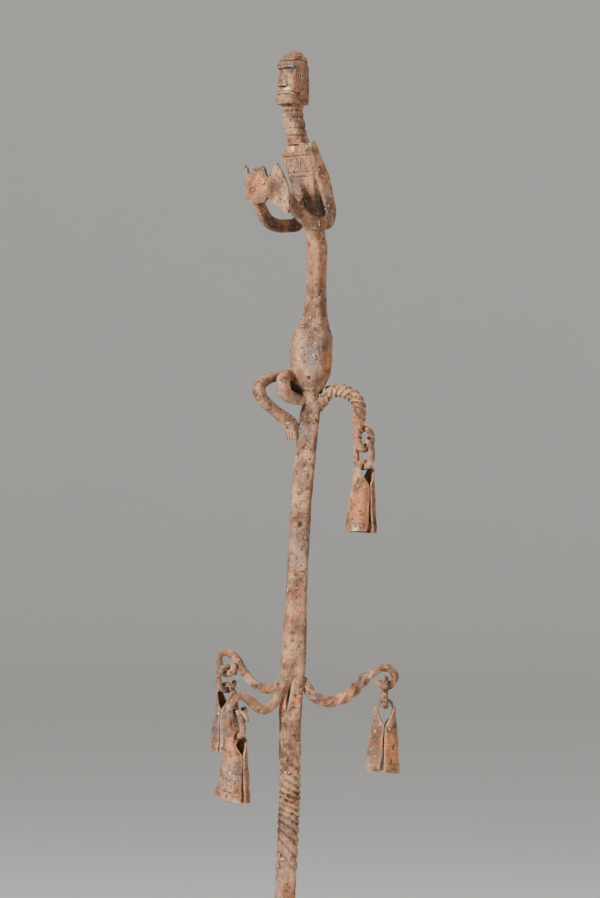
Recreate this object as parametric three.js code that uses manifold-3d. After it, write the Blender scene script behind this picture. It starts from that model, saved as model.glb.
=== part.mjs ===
// A forged iron staff with a small figure on top and four hooks, each with a ring and a folded bell.
// Millimetres, +Z up. The origin is the middle of the blunt foot of the ground spike.
import * as THREE from 'three';
import { mergeVertices } from 'three/addons/utils/BufferGeometryUtils.js';
import Module from 'manifold-3d';

const wasm = await Module();
wasm.setup();

// Clearances
const fitGap = 0.3;
const swingGap = 0.4;

// The bar, from the foot up
const tangHeight = 300;
const footWidth = 8;
const barWidth = 14.6;
const barRoundShare = 0.6;
const shankHeight = 310;
const twistHeight = 101;
const twistToShaft = 30;
const twistTurns = -3.25;
const twistBunchShare = 0.55;
const shoulderShare = 0.3;
const shaftHeight = 228;
const shaftWidth = 15.6;
const shaftFootWidth = 18.6;
const shaftDepthShare = 0.94;
const shaftTurn = 0.04 * Math.PI;
const barSway = 21;

// The figure
const figureTurn = -3 * Math.PI / 4;
const hipsHeight = 62;
const hipsWidth = 27.5;
const hipsDepth = 25.5;
const hipsTurnBack = 0.1 * Math.PI;
const abdomenHeight = 67;
const abdomenWidth = 12.8;
const torsoHeight = 63;
const torsoWidth = 30;
const torsoDepth = 13.5;
const neckHeight = 29.5;
const neckWidth = 14.4;
const grooveDepth = 1.3;
const headHeight = 40.5;
const headWidth = 18.4;
const headDepth = 23.4;
const noseHeight = 3;

// Arms and legs: flat straps, bent in upright planes beside the body
const armWidth = 9;
const armThickness = 4.6;
const armBite = 1.2;
const armDrop = 57;
const armReach = 33;
const shoulderDrop = 2;
const shoulderAhead = 3.5;
const farShoulderBack = 6;
const handThickness = 3.6;
const handHeight = 25.5;
const handGap = 1.2;
const nearHandOverhang = 2.4;
const farHandOverhang = 8;
const legWidth = 8.4;
const legThickness = 7.4;
const legReach = 45;
const nearLegDrop = 18;
const farLegDrop = 34;
const hipJointHeight = 19;
const legSpread = 8.6;
const kneeSpread = 13;
const nearLegSpread = -1;
const nearKneeSpread = 4;
const footPlateWidth = 11;
const footPlateLength = 17;

// Heights that follow from these
const staffHeight = tangHeight + shankHeight + shaftHeight + hipsHeight + abdomenHeight
  + torsoHeight + neckHeight + headHeight;
const shaftFoot = tangHeight + shankHeight;
const hipsFoot = shaftFoot + shaftHeight;
const abdomenFoot = hipsFoot + hipsHeight;
const torsoFoot = abdomenFoot + abdomenHeight;
const neckFoot = torsoFoot + torsoHeight;
const headFoot = neckFoot + neckHeight;

// Chimes: a hook, its ring and its bell. The hook's root is a little above the foot of the bar that it is
// welded to. The eye lies beside the bar by reach and away from the front by depth, the arm's points rise
// and fall by sway, and the ring and bell face along their own directions.
const eyeRadius = 7;
const ringWire = 4.8;
const stripThickness = 1.8;
const stripWidth = 7;
const saddleRise = 2.1;
const seamGap = 1.2;
const hemThickness = 2.7;
const hemHeight = 3.4;
const bellEyeHeight = 15;
const bellEyeSwell = 1.9;

const upperChime = {
  name: 'upper_right', weldFoot: hipsFoot, rootRise: 2, reach: 39.6, eyeRise: -30.2, depth: 4.5, sway: 30,
  rootWidth: 8.6, midWidth: 9, eyeWidth: 6, turns: -3.5,
  eyeTurn: 0.24 * Math.PI, eyeStart: Math.PI, eyeEnd: 2.1 * Math.PI,
  ringWidth: 22, ringHeight: 33.5, ringTurn: -0.26 * Math.PI, restShare: 0.2,
  bellHeight: 55, mouthWidth: 25, bellTurn: -0.3 * Math.PI, lean: -0.06,
};
const rightChime = {
  name: 'lower_right', weldFoot: shaftFoot, rootRise: 17.5, reach: 70, eyeRise: 3.75, depth: 2, sway: 15,
  rootWidth: 5.6, midWidth: 7.8, eyeWidth: 5.4, turns: -2,
  eyeTurn: 0, eyeStart: 0.62 * Math.PI, eyeEnd: -0.86 * Math.PI,
  ringWidth: 22, ringHeight: 25.2, ringTurn: -0.5 * Math.PI, restShare: 0.5,
  bellHeight: 55.8, mouthWidth: 28, bellTurn: -0.5 * Math.PI, lean: -0.055,
};
const frontChime = {
  name: 'front_left', weldFoot: shaftFoot, rootRise: 24, reach: -41.6, eyeRise: -25.75, depth: -23.6, sway: 26,
  rootWidth: 8.6, midWidth: 7.4, eyeWidth: 5.6, turns: 0,
  eyeTurn: 0.22 * Math.PI, eyeStart: Math.PI, eyeEnd: 2.1 * Math.PI,
  ringWidth: 22.6, ringHeight: 23.25, ringTurn: -0.28 * Math.PI, restShare: 0.5,
  bellHeight: 56, mouthWidth: 27.5, bellTurn: -0.28 * Math.PI, lean: -0.08,
};
const rearChime = {
  name: 'rear_left', weldFoot: shaftFoot, rootRise: 16, reach: -49.4, eyeRise: 12.65, depth: 23.5, sway: 22,
  rootWidth: 7.4, midWidth: 6.6, eyeWidth: 5, turns: 0,
  eyeTurn: -0.23 * Math.PI, eyeStart: Math.PI, eyeEnd: 2.1 * Math.PI,
  ringWidth: 24, ringHeight: 22, ringTurn: -0.73 * Math.PI, restShare: 0.5,
  bellHeight: 52.5, mouthWidth: 27, bellTurn: -0.66 * Math.PI, lean: 0,
};

// Shares of the staff's height, then of the bar's sway: to the right and to the back
const swayShares = [
  [0, 0, 0], [0.27, -0.1, 0], [0.423, -0.18, 0], [0.49, -0.01, 0], [0.55, 0.01, 0],
  [0.592, 0.14, 0], [0.654, 0.29, 0], [0.695, 0.4, 0], [0.735, 0.6, 0], [0.761, 0.76, 0],
  [0.797, 0.78, 0], [0.831, 0.93, 0], [0.868, 0.98, 0], [0.896, 0.68, -0.2], [0.925, 0.45, -0.34],
  [0.936, 0.33, -0.38], [0.955, 0.16, -0.4], [0.964, 0.11, -0.4], [1, 0.14, -0.42],
];

const upward = new THREE.Vector3(0, 0, 1);
const ahead = new THREE.Vector3(Math.cos(figureTurn), Math.sin(figureTurn), 0);
const nearSide = new THREE.Vector3(-Math.sin(figureTurn), Math.cos(figureTurn), 0);
const farSide = nearSide.clone().negate();
const unturned = new THREE.Vector3(1, 0, 0);
const backward = new THREE.Vector3(0, 1, 0);

// Middle of the bar at a height
function barAt(height) {
  const share = THREE.MathUtils.clamp(height / staffHeight, 0, 1);
  const next = Math.max(1, swayShares.findIndex(([place]) => place >= share));
  const [low, lowRight, lowBack] = swayShares[next - 1];
  const [high, highRight, highBack] = swayShares[next];
  const part = (share - low) / (high - low);
  return new THREE.Vector3(
    barSway * THREE.MathUtils.lerp(lowRight, highRight, part),
    barSway * THREE.MathUtils.lerp(lowBack, highBack, part),
    height,
  );
}

// Value at a place in a table of [place, value, value...] rows
function readTable(table, at) {
  const next = table.findIndex(([place]) => place >= at);
  if (next <= 0) {
    return table[Math.max(next, 0)].slice(1);
  }
  const low = table[next - 1];
  const high = table[next];
  const part = (at - low[0]) / (high[0] - low[0]);
  return low.slice(1).map((value, column) => THREE.MathUtils.lerp(value, high[column + 1], part));
}

// Outline of a block with rounded corners, anticlockwise: three points on each corner
function blockOutline(width, depth, roundShare) {
  const radius = roundShare * Math.min(width, depth) / 2;
  const outline = [];
  for (const corner of [0, 1, 2, 3]) {
    const middle = Math.PI / 4 + corner * Math.PI / 2;
    const acrossSign = Math.sign(Math.cos(middle));
    const throughSign = Math.sign(Math.sin(middle));
    for (const step of [-1, 0, 1]) {
      const angle = middle + step * Math.PI / 4;
      outline.push([
        acrossSign * (width / 2 - radius) + radius * Math.cos(angle),
        throughSign * (depth / 2 - radius) + radius * Math.sin(angle),
      ]);
    }
  }
  return outline;
}

// Outline of a round or oval wire
function ovalOutline(width, depth, count) {
  return Array.from({ length: count }, (_, step) => {
    const angle = (step + 0.5) * 2 * Math.PI / count;
    return [width / 2 * Math.cos(angle), depth / 2 * Math.sin(angle)];
  });
}

// Closed skin over a row of outlines that have the same even number of points
function loft(stations) {
  const count = stations[0].outline.length;
  const positions = [];
  for (const { at, across, through, outline } of stations) {
    for (const [sideways, deep] of outline) {
      const point = at.clone().addScaledVector(across, sideways).addScaledVector(through, deep);
      positions.push(point.x, point.y, point.z);
    }
  }
  const faces = [];
  for (let row = 0; row < stations.length - 1; row++) {
    for (let column = 0; column < count; column++) {
      const here = row * count + column;
      const beside = row * count + (column + 1) % count;
      faces.push([here, beside, here + count], [beside, beside + count, here + count]);
    }
  }
  const last = (stations.length - 1) * count;
  for (let step = 0; step < count / 2 - 1; step++) {
    const quad = [step, step + 1, count - 2 - step, count - 1 - step];
    for (const [a, b, c] of [[0, 1, 2], [0, 2, 3]]) {
      faces.push([quad[a], quad[c], quad[b]], [last + quad[a], last + quad[b], last + quad[c]]);
    }
  }
  const corner = (index) => new THREE.Vector3().fromArray(positions, index * 3);
  const volume = faces.reduce((sum, [a, b, c]) => sum + corner(a).dot(corner(b).cross(corner(c))), 0);
  const geometry = new THREE.BufferGeometry();
  geometry.setAttribute('position', new THREE.Float32BufferAttribute(positions, 3));
  geometry.setIndex(faces.flatMap(([a, b, c]) => (volume > 0 ? [a, b, c] : [a, c, b])));
  return geometry;
}

// Skin that follows the bar: each level has a height and an outline, turned about the upright
function column(levels, facing = unturned) {
  return loft(levels.map(({ height, outline, turn = 0 }) => {
    const across = facing.clone().applyAxisAngle(upward, turn);
    return { at: barAt(height), across, through: upward.clone().cross(across), outline };
  }));
}

// Skin that follows a curve, with its section kept square to one steady direction
function sweep(curve, steps, outlineAt, steady) {
  return loft(Array.from({ length: steps + 1 }, (_, step) => {
    const share = step / steps;
    const along = curve.getTangentAt(share);
    const through = steady.clone().addScaledVector(along, -steady.dot(along)).normalize();
    return {
      at: curve.getPointAt(share), across: through.clone().cross(along), through, outline: outlineAt(share),
    };
  }));
}

function asSolid(geometry) {
  const bare = geometry.clone();
  bare.deleteAttribute('normal');
  bare.deleteAttribute('uv');
  const merged = mergeVertices(bare);
  return new wasm.Manifold(new wasm.Mesh({
    numProp: 3,
    vertProperties: new Float32Array(merged.attributes.position.array),
    triVerts: new Uint32Array(merged.index.array),
  }));
}

function asGeometry(solid) {
  const { vertProperties, triVerts } = solid.getMesh();
  const geometry = new THREE.BufferGeometry();
  geometry.setAttribute('position', new THREE.BufferAttribute(vertProperties, 3));
  geometry.setIndex(new THREE.BufferAttribute(triVerts, 1));
  return geometry;
}

// One piece forged from several shapes, cut back from the pieces that it is seated on
function forge(shapes, seats = []) {
  const whole = shapes.map(asSolid).reduce((sum, shape) => sum.add(shape));
  return asGeometry(seats.map(asSolid).reduce((rest, seat) => rest.subtract(seat), whole));
}

// Bar
function buildTang() {
  const widthShares = [[0, 0], [0.12, 0.3], [0.4, 0.68], [0.75, 0.94], [1, 1]];
  return column(widthShares.map(([heightShare, growShare]) => {
    const width = THREE.MathUtils.lerp(footWidth, barWidth, growShare);
    return { height: heightShare * (tangHeight - fitGap), outline: blockOutline(width, width, barRoundShare) };
  }));
}

function buildShank() {
  const twistFoot = shaftFoot - twistToShaft - twistHeight;
  const steps = 44;
  const outline = blockOutline(barWidth, barWidth, barRoundShare);
  const levels = [{ height: tangHeight, outline }];
  for (let step = 0; step <= steps; step++) {
    const share = step / steps;
    const easedShare = share - twistBunchShare * Math.sin(2 * Math.PI * share) / (2 * Math.PI);
    levels.push({
      height: twistFoot + share * twistHeight,
      turn: easedShare * twistTurns * 2 * Math.PI,
      outline,
    });
  }
  const turn = twistTurns * 2 * Math.PI;
  const shoulder = blockOutline(shaftWidth, shaftWidth, 0.4);
  levels.push({ height: shaftFoot - fitGap - twistToShaft * shoulderShare, turn, outline });
  levels.push({ height: shaftFoot - fitGap, turn, outline: shoulder });
  return column(levels);
}

function buildShaft(grow = 0) {
  const widthShares = [
    [0, 0.55], [0.08, 0.8], [0.14, 1], [0.22, 0.9], [0.34, 0.1], [0.5, 0.05], [0.66, 0.02], [0.8, 0.08],
    [0.9, 0], [1, -0.9],
  ];
  return column(widthShares.map(([heightShare, growShare]) => {
    const width = shaftWidth + growShare * (shaftFootWidth - shaftWidth) + 2 * grow;
    const height = shaftFoot + heightShare * (shaftHeight - fitGap) + (2 * heightShare - 1) * grow;
    return { height, outline: blockOutline(width, width * shaftDepthShare, 0.5), turn: shaftTurn };
  }));
}

// Figure
function buildHips(grow = 0) {
  const shapeShares = [
    [0, 0.46, 0.48], [0.1, 0.5, 0.52], [0.2, 0.7, 0.7], [0.36, 0.94, 0.94], [0.58, 1, 1], [0.74, 0.99, 0.95],
    [0.87, 0.84, 0.82], [1, 0.64, 0.66],
  ];
  return column(shapeShares.map(([heightShare, widthShare, depthShare]) => ({
    height: hipsFoot + heightShare * (hipsHeight - fitGap) + (2 * heightShare - 1) * grow,
    outline: blockOutline(hipsWidth * widthShare + 2 * grow, hipsDepth * depthShare + 2 * grow, 0.42),
    turn: hipsTurnBack,
  })), nearSide);
}

function buildAbdomen() {
  const widthShares = [[0, 1.25], [0.12, 1.02], [0.5, 0.98], [0.85, 1], [1, 1.04]];
  return column(widthShares.map(([heightShare, widthShare]) => ({
    height: abdomenFoot + heightShare * (abdomenHeight - fitGap),
    outline: blockOutline(abdomenWidth * widthShare, abdomenWidth * widthShare, 0.4),
  })), nearSide);
}

function buildTorso(grow = 0) {
  const shapeShares = [
    [0, 0.42, 0.92], [0.3, 0.44, 0.9], [0.42, 0.52, 0.9], [0.56, 0.72, 0.94], [0.7, 0.92, 1], [0.86, 1, 1],
    [0.95, 0.9, 0.96], [1, 0.62, 0.88],
  ];
  return column(shapeShares.map(([heightShare, widthShare, depthShare]) => ({
    height: torsoFoot + heightShare * (torsoHeight - fitGap) + (2 * heightShare - 1) * grow,
    outline: blockOutline(torsoWidth * widthShare + 2 * grow, torsoDepth * depthShare + 2 * grow, 0.24),
  })), nearSide);
}

function buildNeck() {
  const grooveShares = [0.12, 0.24, 0.57, 0.9];
  const halfGrooveShare = 0.06;
  const stopShares = [0, 1];
  for (const grooveShare of grooveShares) {
    stopShares.push(grooveShare - halfGrooveShare, grooveShare, grooveShare + halfGrooveShare);
  }
  return column(stopShares.sort((a, b) => a - b).map((heightShare) => {
    const isGroove = grooveShares.includes(heightShare);
    const width = neckWidth - (isGroove ? 2 * grooveDepth : 0);
    const outline = blockOutline(width, width, 0.8);
    return { height: neckFoot + heightShare * (neckHeight - fitGap), outline };
  }), nearSide);
}

// Outline of the head at a level: a rounded block with the nose and brow as a wedge in front
function headOutline(width, back, front, wedge) {
  const points = [
    [0, -back], [0.62, -back * 0.97], [0.92, -back * 0.72], [1, -back * 0.3], [1, front * 0.3],
    [0.94, front * 0.82], [0.6, front], [0.34, front], [0.12, front + wedge],
  ];
  const right = points.slice(1).map(([widthShare, deep]) => [widthShare * width / 2, deep]);
  const left = right.map(([sideways, deep]) => [-sideways, deep]).reverse();
  return [[width / 2 * 0.2, -back], ...right, ...left, [-width / 2 * 0.2, -back]];
}

function buildHead() {
  const shapeShares = [
    [0, 0.98, 0.98, 1.08, 0], [0.07, 1, 1, 1.1, 0], [0.136, 1, 1, 1.13, 0.1], [0.19, 1, 1, 1, 0],
    [0.24, 1, 1, 1.06, 0.1], [0.31, 1, 1, 0.92, 0], [0.345, 1, 1, 0.92, 1], [0.46, 1, 0.99, 0.88, 0.95],
    [0.59, 0.97, 0.97, 0.76, 0.5], [0.64, 0.98, 0.96, 0.78, 0.3], [0.69, 1.02, 0.96, 1, 0.2],
    [0.77, 1.02, 0.95, 0.96, 0], [0.79, 0.92, 0.88, 0.9, 0], [0.83, 0.92, 0.84, 0.82, 0],
    [0.86, 0.82, 0.76, 0.7, 0], [0.9, 0.74, 0.66, 0.56, 0], [0.96, 0.5, 0.44, 0.34, 0], [1, 0.2, 0.2, 0.14, 0],
  ];
  return column(shapeShares.map(([heightShare, widthShare, backShare, frontShare, wedgeShare]) => ({
    height: headFoot + heightShare * headHeight,
    outline: headOutline(
      headWidth * widthShare, headDepth / 2 * backShare, headDepth / 2 * frontShare, noseHeight * wedgeShare,
    ),
  })), farSide);
}

// Point beside the figure: forward and up in an upright plane, out to one side
function figurePoint(from, forward, rise, aside) {
  return from.clone().addScaledVector(ahead, forward).addScaledVector(nearSide, aside)
    .addScaledVector(upward, rise);
}

// Flat plate: its outline lies along one level direction and the upright, and its middle is given
function plate(middle, sideways, outline, thickness) {
  const shape = new THREE.Shape(outline.map(([across, rise]) => new THREE.Vector2(across, rise)));
  const geometry = new THREE.ExtrudeGeometry(shape, { depth: thickness, bevelEnabled: false });
  const normal = sideways.clone().cross(upward);
  const frame = new THREE.Matrix4().makeBasis(sideways, upward, normal);
  return geometry.applyMatrix4(frame.setPosition(middle.clone().addScaledVector(normal, -thickness / 2)));
}

// Arm: a strap down from the shoulder, round the elbow and forwards, with its hand turned across the front
function buildArm(side, handShares, handOverhang, shoulderBack) {
  const backShare = -shoulderBack / armReach;
  const pathShares = [
    [backShare, 0.02], [backShare - 0.1, -0.13], [backShare / 2 - 0.38, -0.45], [-0.52, -0.68], [-0.6, -0.84],
    [-0.52, -0.98], [-0.2, -1.01], [0.16, -0.96], [0.48, -0.86], [0.7, -0.7], [0.83, -0.54],
  ];
  const shoulder = barAt(neckFoot - shoulderDrop);
  const aside = (torsoWidth + armThickness) / 2 - armBite;
  const curve = new THREE.CatmullRomCurve3(pathShares.map(([forwardShare, riseShare]) =>
    figurePoint(shoulder, shoulderAhead + forwardShare * armReach, riseShare * armDrop, side * aside)));
  const strap = sweep(curve, 18, (share) => {
    const width = armWidth * (0.9 + 0.35 * Math.sin(Math.PI * share));
    return blockOutline(width, armThickness, 0.5);
  }, nearSide);
  const wrist = figurePoint(shoulder, shoulderAhead + 0.84 * armReach, -0.735 * armDrop, side * handGap / 2);
  const handWidth = aside + armThickness / 2 - handGap / 2 + handOverhang;
  const outline = handShares.map(([acrossShare, riseShare]) =>
    [acrossShare * handWidth, riseShare * handHeight]);
  const hand = plate(wrist, nearSide.clone().multiplyScalar(side), outline, handThickness);
  return forge([strap, hand], [buildTorso(fitGap)]);
}

function buildNearArm() {
  const handShares = [
    [0.06, 0.1], [0.5, 0], [1, 0.12], [1, 0.5], [0.96, 0.74], [0.82, 0.98], [0.7, 1], [0.66, 0.7], [0.58, 0.66],
    [0.5, 0.7], [0.5, 1.1], [0.32, 1.12], [0.28, 0.7], [0.1, 0.66], [0, 0.4],
  ];
  return buildArm(1, handShares, nearHandOverhang, 0);
}

function buildFarArm() {
  const handShares = [
    [0.04, 0.16], [0.4, 0.02], [0.84, 0], [0.96, 0.3], [0.98, 0.72], [1, 1.12], [0.93, 1.13], [0.9, 0.9],
    [0.84, 1], [0.78, 0.84], [0.64, 0.82], [0.6, 1.04], [0.16, 1.02], [0.12, 0.74], [0, 0.66],
  ];
  return buildArm(-1, handShares, farHandOverhang, farShoulderBack);
}

function buildLeg(hipAside, kneeAside, pathShares, drop, extras = []) {
  const joint = barAt(hipsFoot + hipJointHeight);
  const curve = new THREE.CatmullRomCurve3(pathShares.map(([forwardShare, riseShare, spreadShare]) => {
    const aside = THREE.MathUtils.lerp(hipAside, kneeAside, spreadShare);
    return figurePoint(joint, forwardShare * legReach, riseShare * drop, aside);
  }));
  const strap = sweep(curve, 16, () => blockOutline(legThickness, legWidth, 0.5), nearSide);
  return forge([strap, ...extras], [buildHips(fitGap), buildShaft(fitGap)]);
}

function buildNearLeg() {
  const pathShares = [
    [0.12, -0.06, 0], [0.36, 0.04, 0.2], [0.54, -0.04, 0.4], [0.66, -0.36, 0.5], [0.58, -0.76, 0.5],
    [0.36, -0.98, 0.5], [0.12, -1.04, 0.4],
  ];
  return buildLeg(nearLegSpread, nearKneeSpread, pathShares, nearLegDrop);
}

function buildFarLeg() {
  const pathShares = [
    [0.1, 0, 0], [0.5, 0.02, 0.8], [0.76, -0.02, 1], [0.99, -0.24, 1], [0.88, -0.46, 1], [0.64, -0.68, 0.9],
    [0.44, -0.84, 0.7], [0.2, -1, 0.2],
  ];
  const footShares = [
    [0.9, 0.2], [1.1, -0.2], [1.04, -0.76], [0.84, -0.8], [0.8, -0.56], [0.64, -0.58], [0.6, -0.98], [0.38, -1],
    [0.34, -0.66], [0.2, -0.64], [0.14, -0.9], [-0.04, -0.86], [-0.06, -0.2], [0.2, 0.3],
  ];
  const ankle = barAt(hipsFoot + hipJointHeight - farLegDrop);
  const outline = footShares.map(([forwardShare, riseShare]) =>
    [shaftWidth / 2 + forwardShare * footPlateWidth, riseShare * footPlateLength]);
  const foot = plate(figurePoint(ankle, 0, 0, -legSpread), ahead, outline, handThickness);
  return buildLeg(-legSpread, -kneeSpread, pathShares, farLegDrop, [foot]);
}

// Hook arms: shares of the way to the eye and of the sway, from inside the bar outwards
const armShares = {
  upper_right: [
    [0.1, -0.24], [0.24, -0.06], [0.37, 0.14], [0.6, 0.21], [0.81, 0.14], [0.98, -0.02], [1.05, -0.27],
    [1.02, -0.6],
  ],
  lower_right: [
    [0.02, 0.3], [0.14, 0], [0.2, -0.5], [0.26, -0.77], [0.38, -0.99], [0.51, -0.91], [0.65, -0.57], [0.76, -0.07],
    [0.87, 0.38],
  ],
  front_left: [
    [0.02, 0.1], [0.08, -0.12], [0.16, -0.4], [0.26, -0.74], [0.38, -0.96], [0.485, -1], [0.59, -0.88],
    [0.7, -0.68], [0.81, -0.58], [0.91, -0.65], [0.985, -0.84],
  ],
  rear_left: [
    [0.03, 0.06], [0.24, -0.13], [0.34, -0.22], [0.45, -0.15], [0.57, 0.07], [0.69, 0.45], [0.78, 0.81], [0.88, 0.975],
    [0.975, 0.95], [1.01, 0.78],
  ],
};

// Ring wires: shares of the ring's width and height, and of the wire's width out of the ring's plane
const ringShares = {
  upper_right: [
    [0.12, 0.215, 0], [0.36, 0.1, 0], [0.49, -0.12, 0], [0.38, -0.38, 0], [0, -0.5, 0], [-0.4, -0.38, 0],
    [-0.5, -0.05, 0], [-0.42, 0.3, 0], [-0.08, 0.5, 0], [0.3, 0.46, 0], [0.54, 0.28, 0],
  ],
  lower_right: [
    [0.49, -0.1, 0], [0.36, -0.36, 0], [0, -0.5, 0], [-0.38, -0.33, 0], [-0.5, 0.05, 0], [-0.36, 0.39, 0],
    [0, 0.5, 0], [0.38, 0.38, 0], [0.49, 0.18, 0],
  ],
  front_left: [
    [0.2, 0.56, -0.62], [0.38, 0.38, -0.6], [0.5, 0.06, -0.4], [0.4, -0.32, 0], [0, -0.5, 0], [-0.4, -0.32, 0],
    [-0.5, 0.05, 0], [-0.34, 0.4, 0], [0, 0.5, 0], [0.36, 0.36, 0.5], [0.48, 0.1, 0.6],
  ],
  rear_left: [
    [-0.47, -0.12, 0], [-0.34, -0.38, 0], [0, -0.5, 0], [0.38, -0.33, 0], [0.5, 0.05, 0], [0.36, 0.39, 0],
    [0, 0.5, 0], [-0.38, 0.37, 0], [-0.49, 0.16, 0],
  ],
};

const level = (turn) => new THREE.Vector3(Math.cos(turn), Math.sin(turn), 0);

const hookRoot = (chime) => barAt(chime.weldFoot + chime.rootRise);

function eyeMiddle(chime) {
  const root = hookRoot(chime);
  return new THREE.Vector3(root.x + chime.reach, chime.depth, root.z + chime.eyeRise);
}

function buildHook(chime) {
  const root = hookRoot(chime);
  const middle = eyeMiddle(chime);
  const onEye = (angle) => middle.clone().addScaledVector(level(chime.eyeTurn), eyeRadius * Math.cos(angle))
    .addScaledVector(upward, eyeRadius * Math.sin(angle));
  const start = onEye(chime.eyeStart);
  const points = armShares[chime.name].map(([reachShare, swayShare]) => new THREE.Vector3(
    THREE.MathUtils.lerp(root.x, start.x, reachShare),
    THREE.MathUtils.lerp(root.y, start.y, Math.min(1, 1.15 * reachShare)),
    root.z + swayShare * chime.sway,
  ));
  const eyeSteps = 9;
  for (let step = 0; step <= eyeSteps; step++) {
    points.push(onEye(THREE.MathUtils.lerp(chime.eyeStart, chime.eyeEnd, step / eyeSteps)));
  }
  const curve = new THREE.CatmullRomCurve3(points, false, 'centripetal');
  const armRoundShare = chime.turns === 0 ? 0.7 : 0.5;
  const sections = [
    [0, chime.rootWidth, armRoundShare], [0.35, chime.midWidth, armRoundShare],
    [0.55, chime.midWidth, armRoundShare], [0.7, chime.eyeWidth, 1], [0.97, chime.eyeWidth, 1],
    [1, 0.7 * chime.eyeWidth, 1],
  ];
  const rod = sweep(curve, chime.turns === 0 ? 28 : 38, (share) => {
    const [width, roundShare] = readTable(sections, share);
    const turn = chime.turns * 2 * Math.PI * Math.min(1, share / 0.7);
    return blockOutline(width, width, roundShare).map(([sideways, deep]) => [
      sideways * Math.cos(turn) - deep * Math.sin(turn),
      sideways * Math.sin(turn) + deep * Math.cos(turn),
    ]);
  }, backward);
  return forge([rod], [buildShaft(fitGap), buildHips(fitGap)]);
}

// Middle of a ring: its wire rests on the lowest stretch of the eye
function ringMiddle(chime) {
  const rest = (chime.eyeWidth + ringWire) / 2 + swingGap - eyeRadius;
  return eyeMiddle(chime).addScaledVector(upward, rest - chime.restShare * (chime.ringHeight - ringWire));
}

function buildRing(chime) {
  const middle = ringMiddle(chime);
  const sideways = level(chime.ringTurn);
  const normal = upward.clone().cross(sideways);
  const curve = new THREE.CatmullRomCurve3(ringShares[chime.name].map(([acrossShare, riseShare, outShare]) =>
    middle.clone().addScaledVector(sideways, acrossShare * (chime.ringWidth - ringWire))
      .addScaledVector(upward, riseShare * (chime.ringHeight - ringWire))
      .addScaledVector(normal, outShare * ringWire)), false, 'centripetal');
  return sweep(curve, 26, () => ovalOutline(ringWire, ringWire, 8), normal);
}

// Lowest point of a ring's wire, which its bell hangs on
function bellHinge(chime) {
  return ringMiddle(chime).addScaledVector(upward, (ringWire - chime.ringHeight) / 2);
}

// Outline of a strip hammered to a gutter: an arc of half the given spread to each side of its crown
function gutterOutline(radius, halfSpread, thickness) {
  const steps = 7;
  const outline = [];
  for (const reach of [radius, radius - thickness]) {
    for (let step = 0; step <= steps; step++) {
      const place = reach === radius ? step : steps - step;
      const angle = halfSpread * (1 - 2 * place / steps);
      outline.push([reach * Math.sin(angle), reach * Math.cos(angle) - radius]);
    }
  }
  return outline;
}

// Bell: one strip over the ring's wire, both legs hammered to half cones that meet in two seams
function buildBell(chime) {
  const hinge = bellHinge(chime);
  const tunnel = level(chime.bellTurn);
  const upright = upward.clone().applyAxisAngle(tunnel, chime.lean);
  const swing = upright.clone().cross(tunnel);
  const saddle = ringWire / 2 + saddleRise + stripThickness;
  const drop = chime.bellHeight - saddle;
  const mouth = chime.mouthWidth / 2;
  const neck = saddle + bellEyeSwell;
  const flat = Math.asin(stripWidth / 2 / neck);
  const hemShare = hemHeight / drop;
  const eyeShare = 1 - bellEyeHeight / drop;
  const legShares = [
    [0, 1, 1], [hemShare, 1, 1], [hemShare * 1.3, 0.96, 1], [0.3, 0.74, 1], [0.52, 0.49, 1], [eyeShare, 0.27, 1],
    [THREE.MathUtils.lerp(eyeShare, 1, 0.3), 0.03, 0.42], [THREE.MathUtils.lerp(eyeShare, 1, 0.58), 0, 0.12],
  ];
  const station = (sign, angle, outside, rise, halfSpread, radius, thickness) => {
    const through = swing.clone().multiplyScalar(sign * Math.cos(angle))
      .addScaledVector(upright, Math.sin(angle));
    const at = hinge.clone().addScaledVector(through, outside).addScaledVector(upright, rise);
    return { at, across: tunnel, through, outline: gutterOutline(radius, halfSpread, thickness) };
  };
  const leg = (sign) => legShares.map(([riseShare, swellShare, foldShare]) => {
    const outside = THREE.MathUtils.lerp(neck, mouth, swellShare);
    const radius = outside - seamGap / 2;
    const halfSpread = THREE.MathUtils.lerp(flat, Math.PI / 2, foldShare);
    const thickness = riseShare <= hemShare ? hemThickness : stripThickness;
    return station(sign, 0, outside, (riseShare - 1) * drop, halfSpread, radius, thickness);
  });
  const loop = [0.02, 0.17, 0.33, 0.5, 0.67, 0.83, 0.98].map((turnShare) => {
    const angle = turnShare * Math.PI;
    return station(1, angle, saddle, 0, flat, neck, stripThickness);
  });
  return loft([...leg(1), ...loop, ...leg(-1).reverse()]);
}

const iron = () => new THREE.MeshStandardMaterial({ color: 0x96694f, roughness: 0.85, metalness: 0.35 });

const staff = new THREE.Group();

function add(name, geometry) {
  const mesh = new THREE.Mesh(geometry, iron());
  mesh.name = name;
  staff.add(mesh);
}

add('ground_tang', buildTang());
add('lower_shank', buildShank());
add('upper_shaft', buildShaft());
add('figure_hips', buildHips());
add('figure_abdomen', buildAbdomen());
add('figure_torso', buildTorso());
add('figure_neck', buildNeck());
add('figure_head', buildHead());
add('near_arm', buildNearArm());
add('far_arm', buildFarArm());
add('near_leg', buildNearLeg());
add('far_leg', buildFarLeg());
for (const chime of [upperChime, rightChime, frontChime, rearChime]) {
  add(`${chime.name}_hook`, buildHook(chime));
  add(`${chime.name}_ring`, buildRing(chime));
  add(`${chime.name}_bell`, buildBell(chime));
}

export default staff;
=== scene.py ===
"""Looks of the forged iron staff: a twisted bar with a small figure, and four hooks with rings and bells."""
import math

import bpy
import numpy as np
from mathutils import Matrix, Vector, noise


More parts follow.
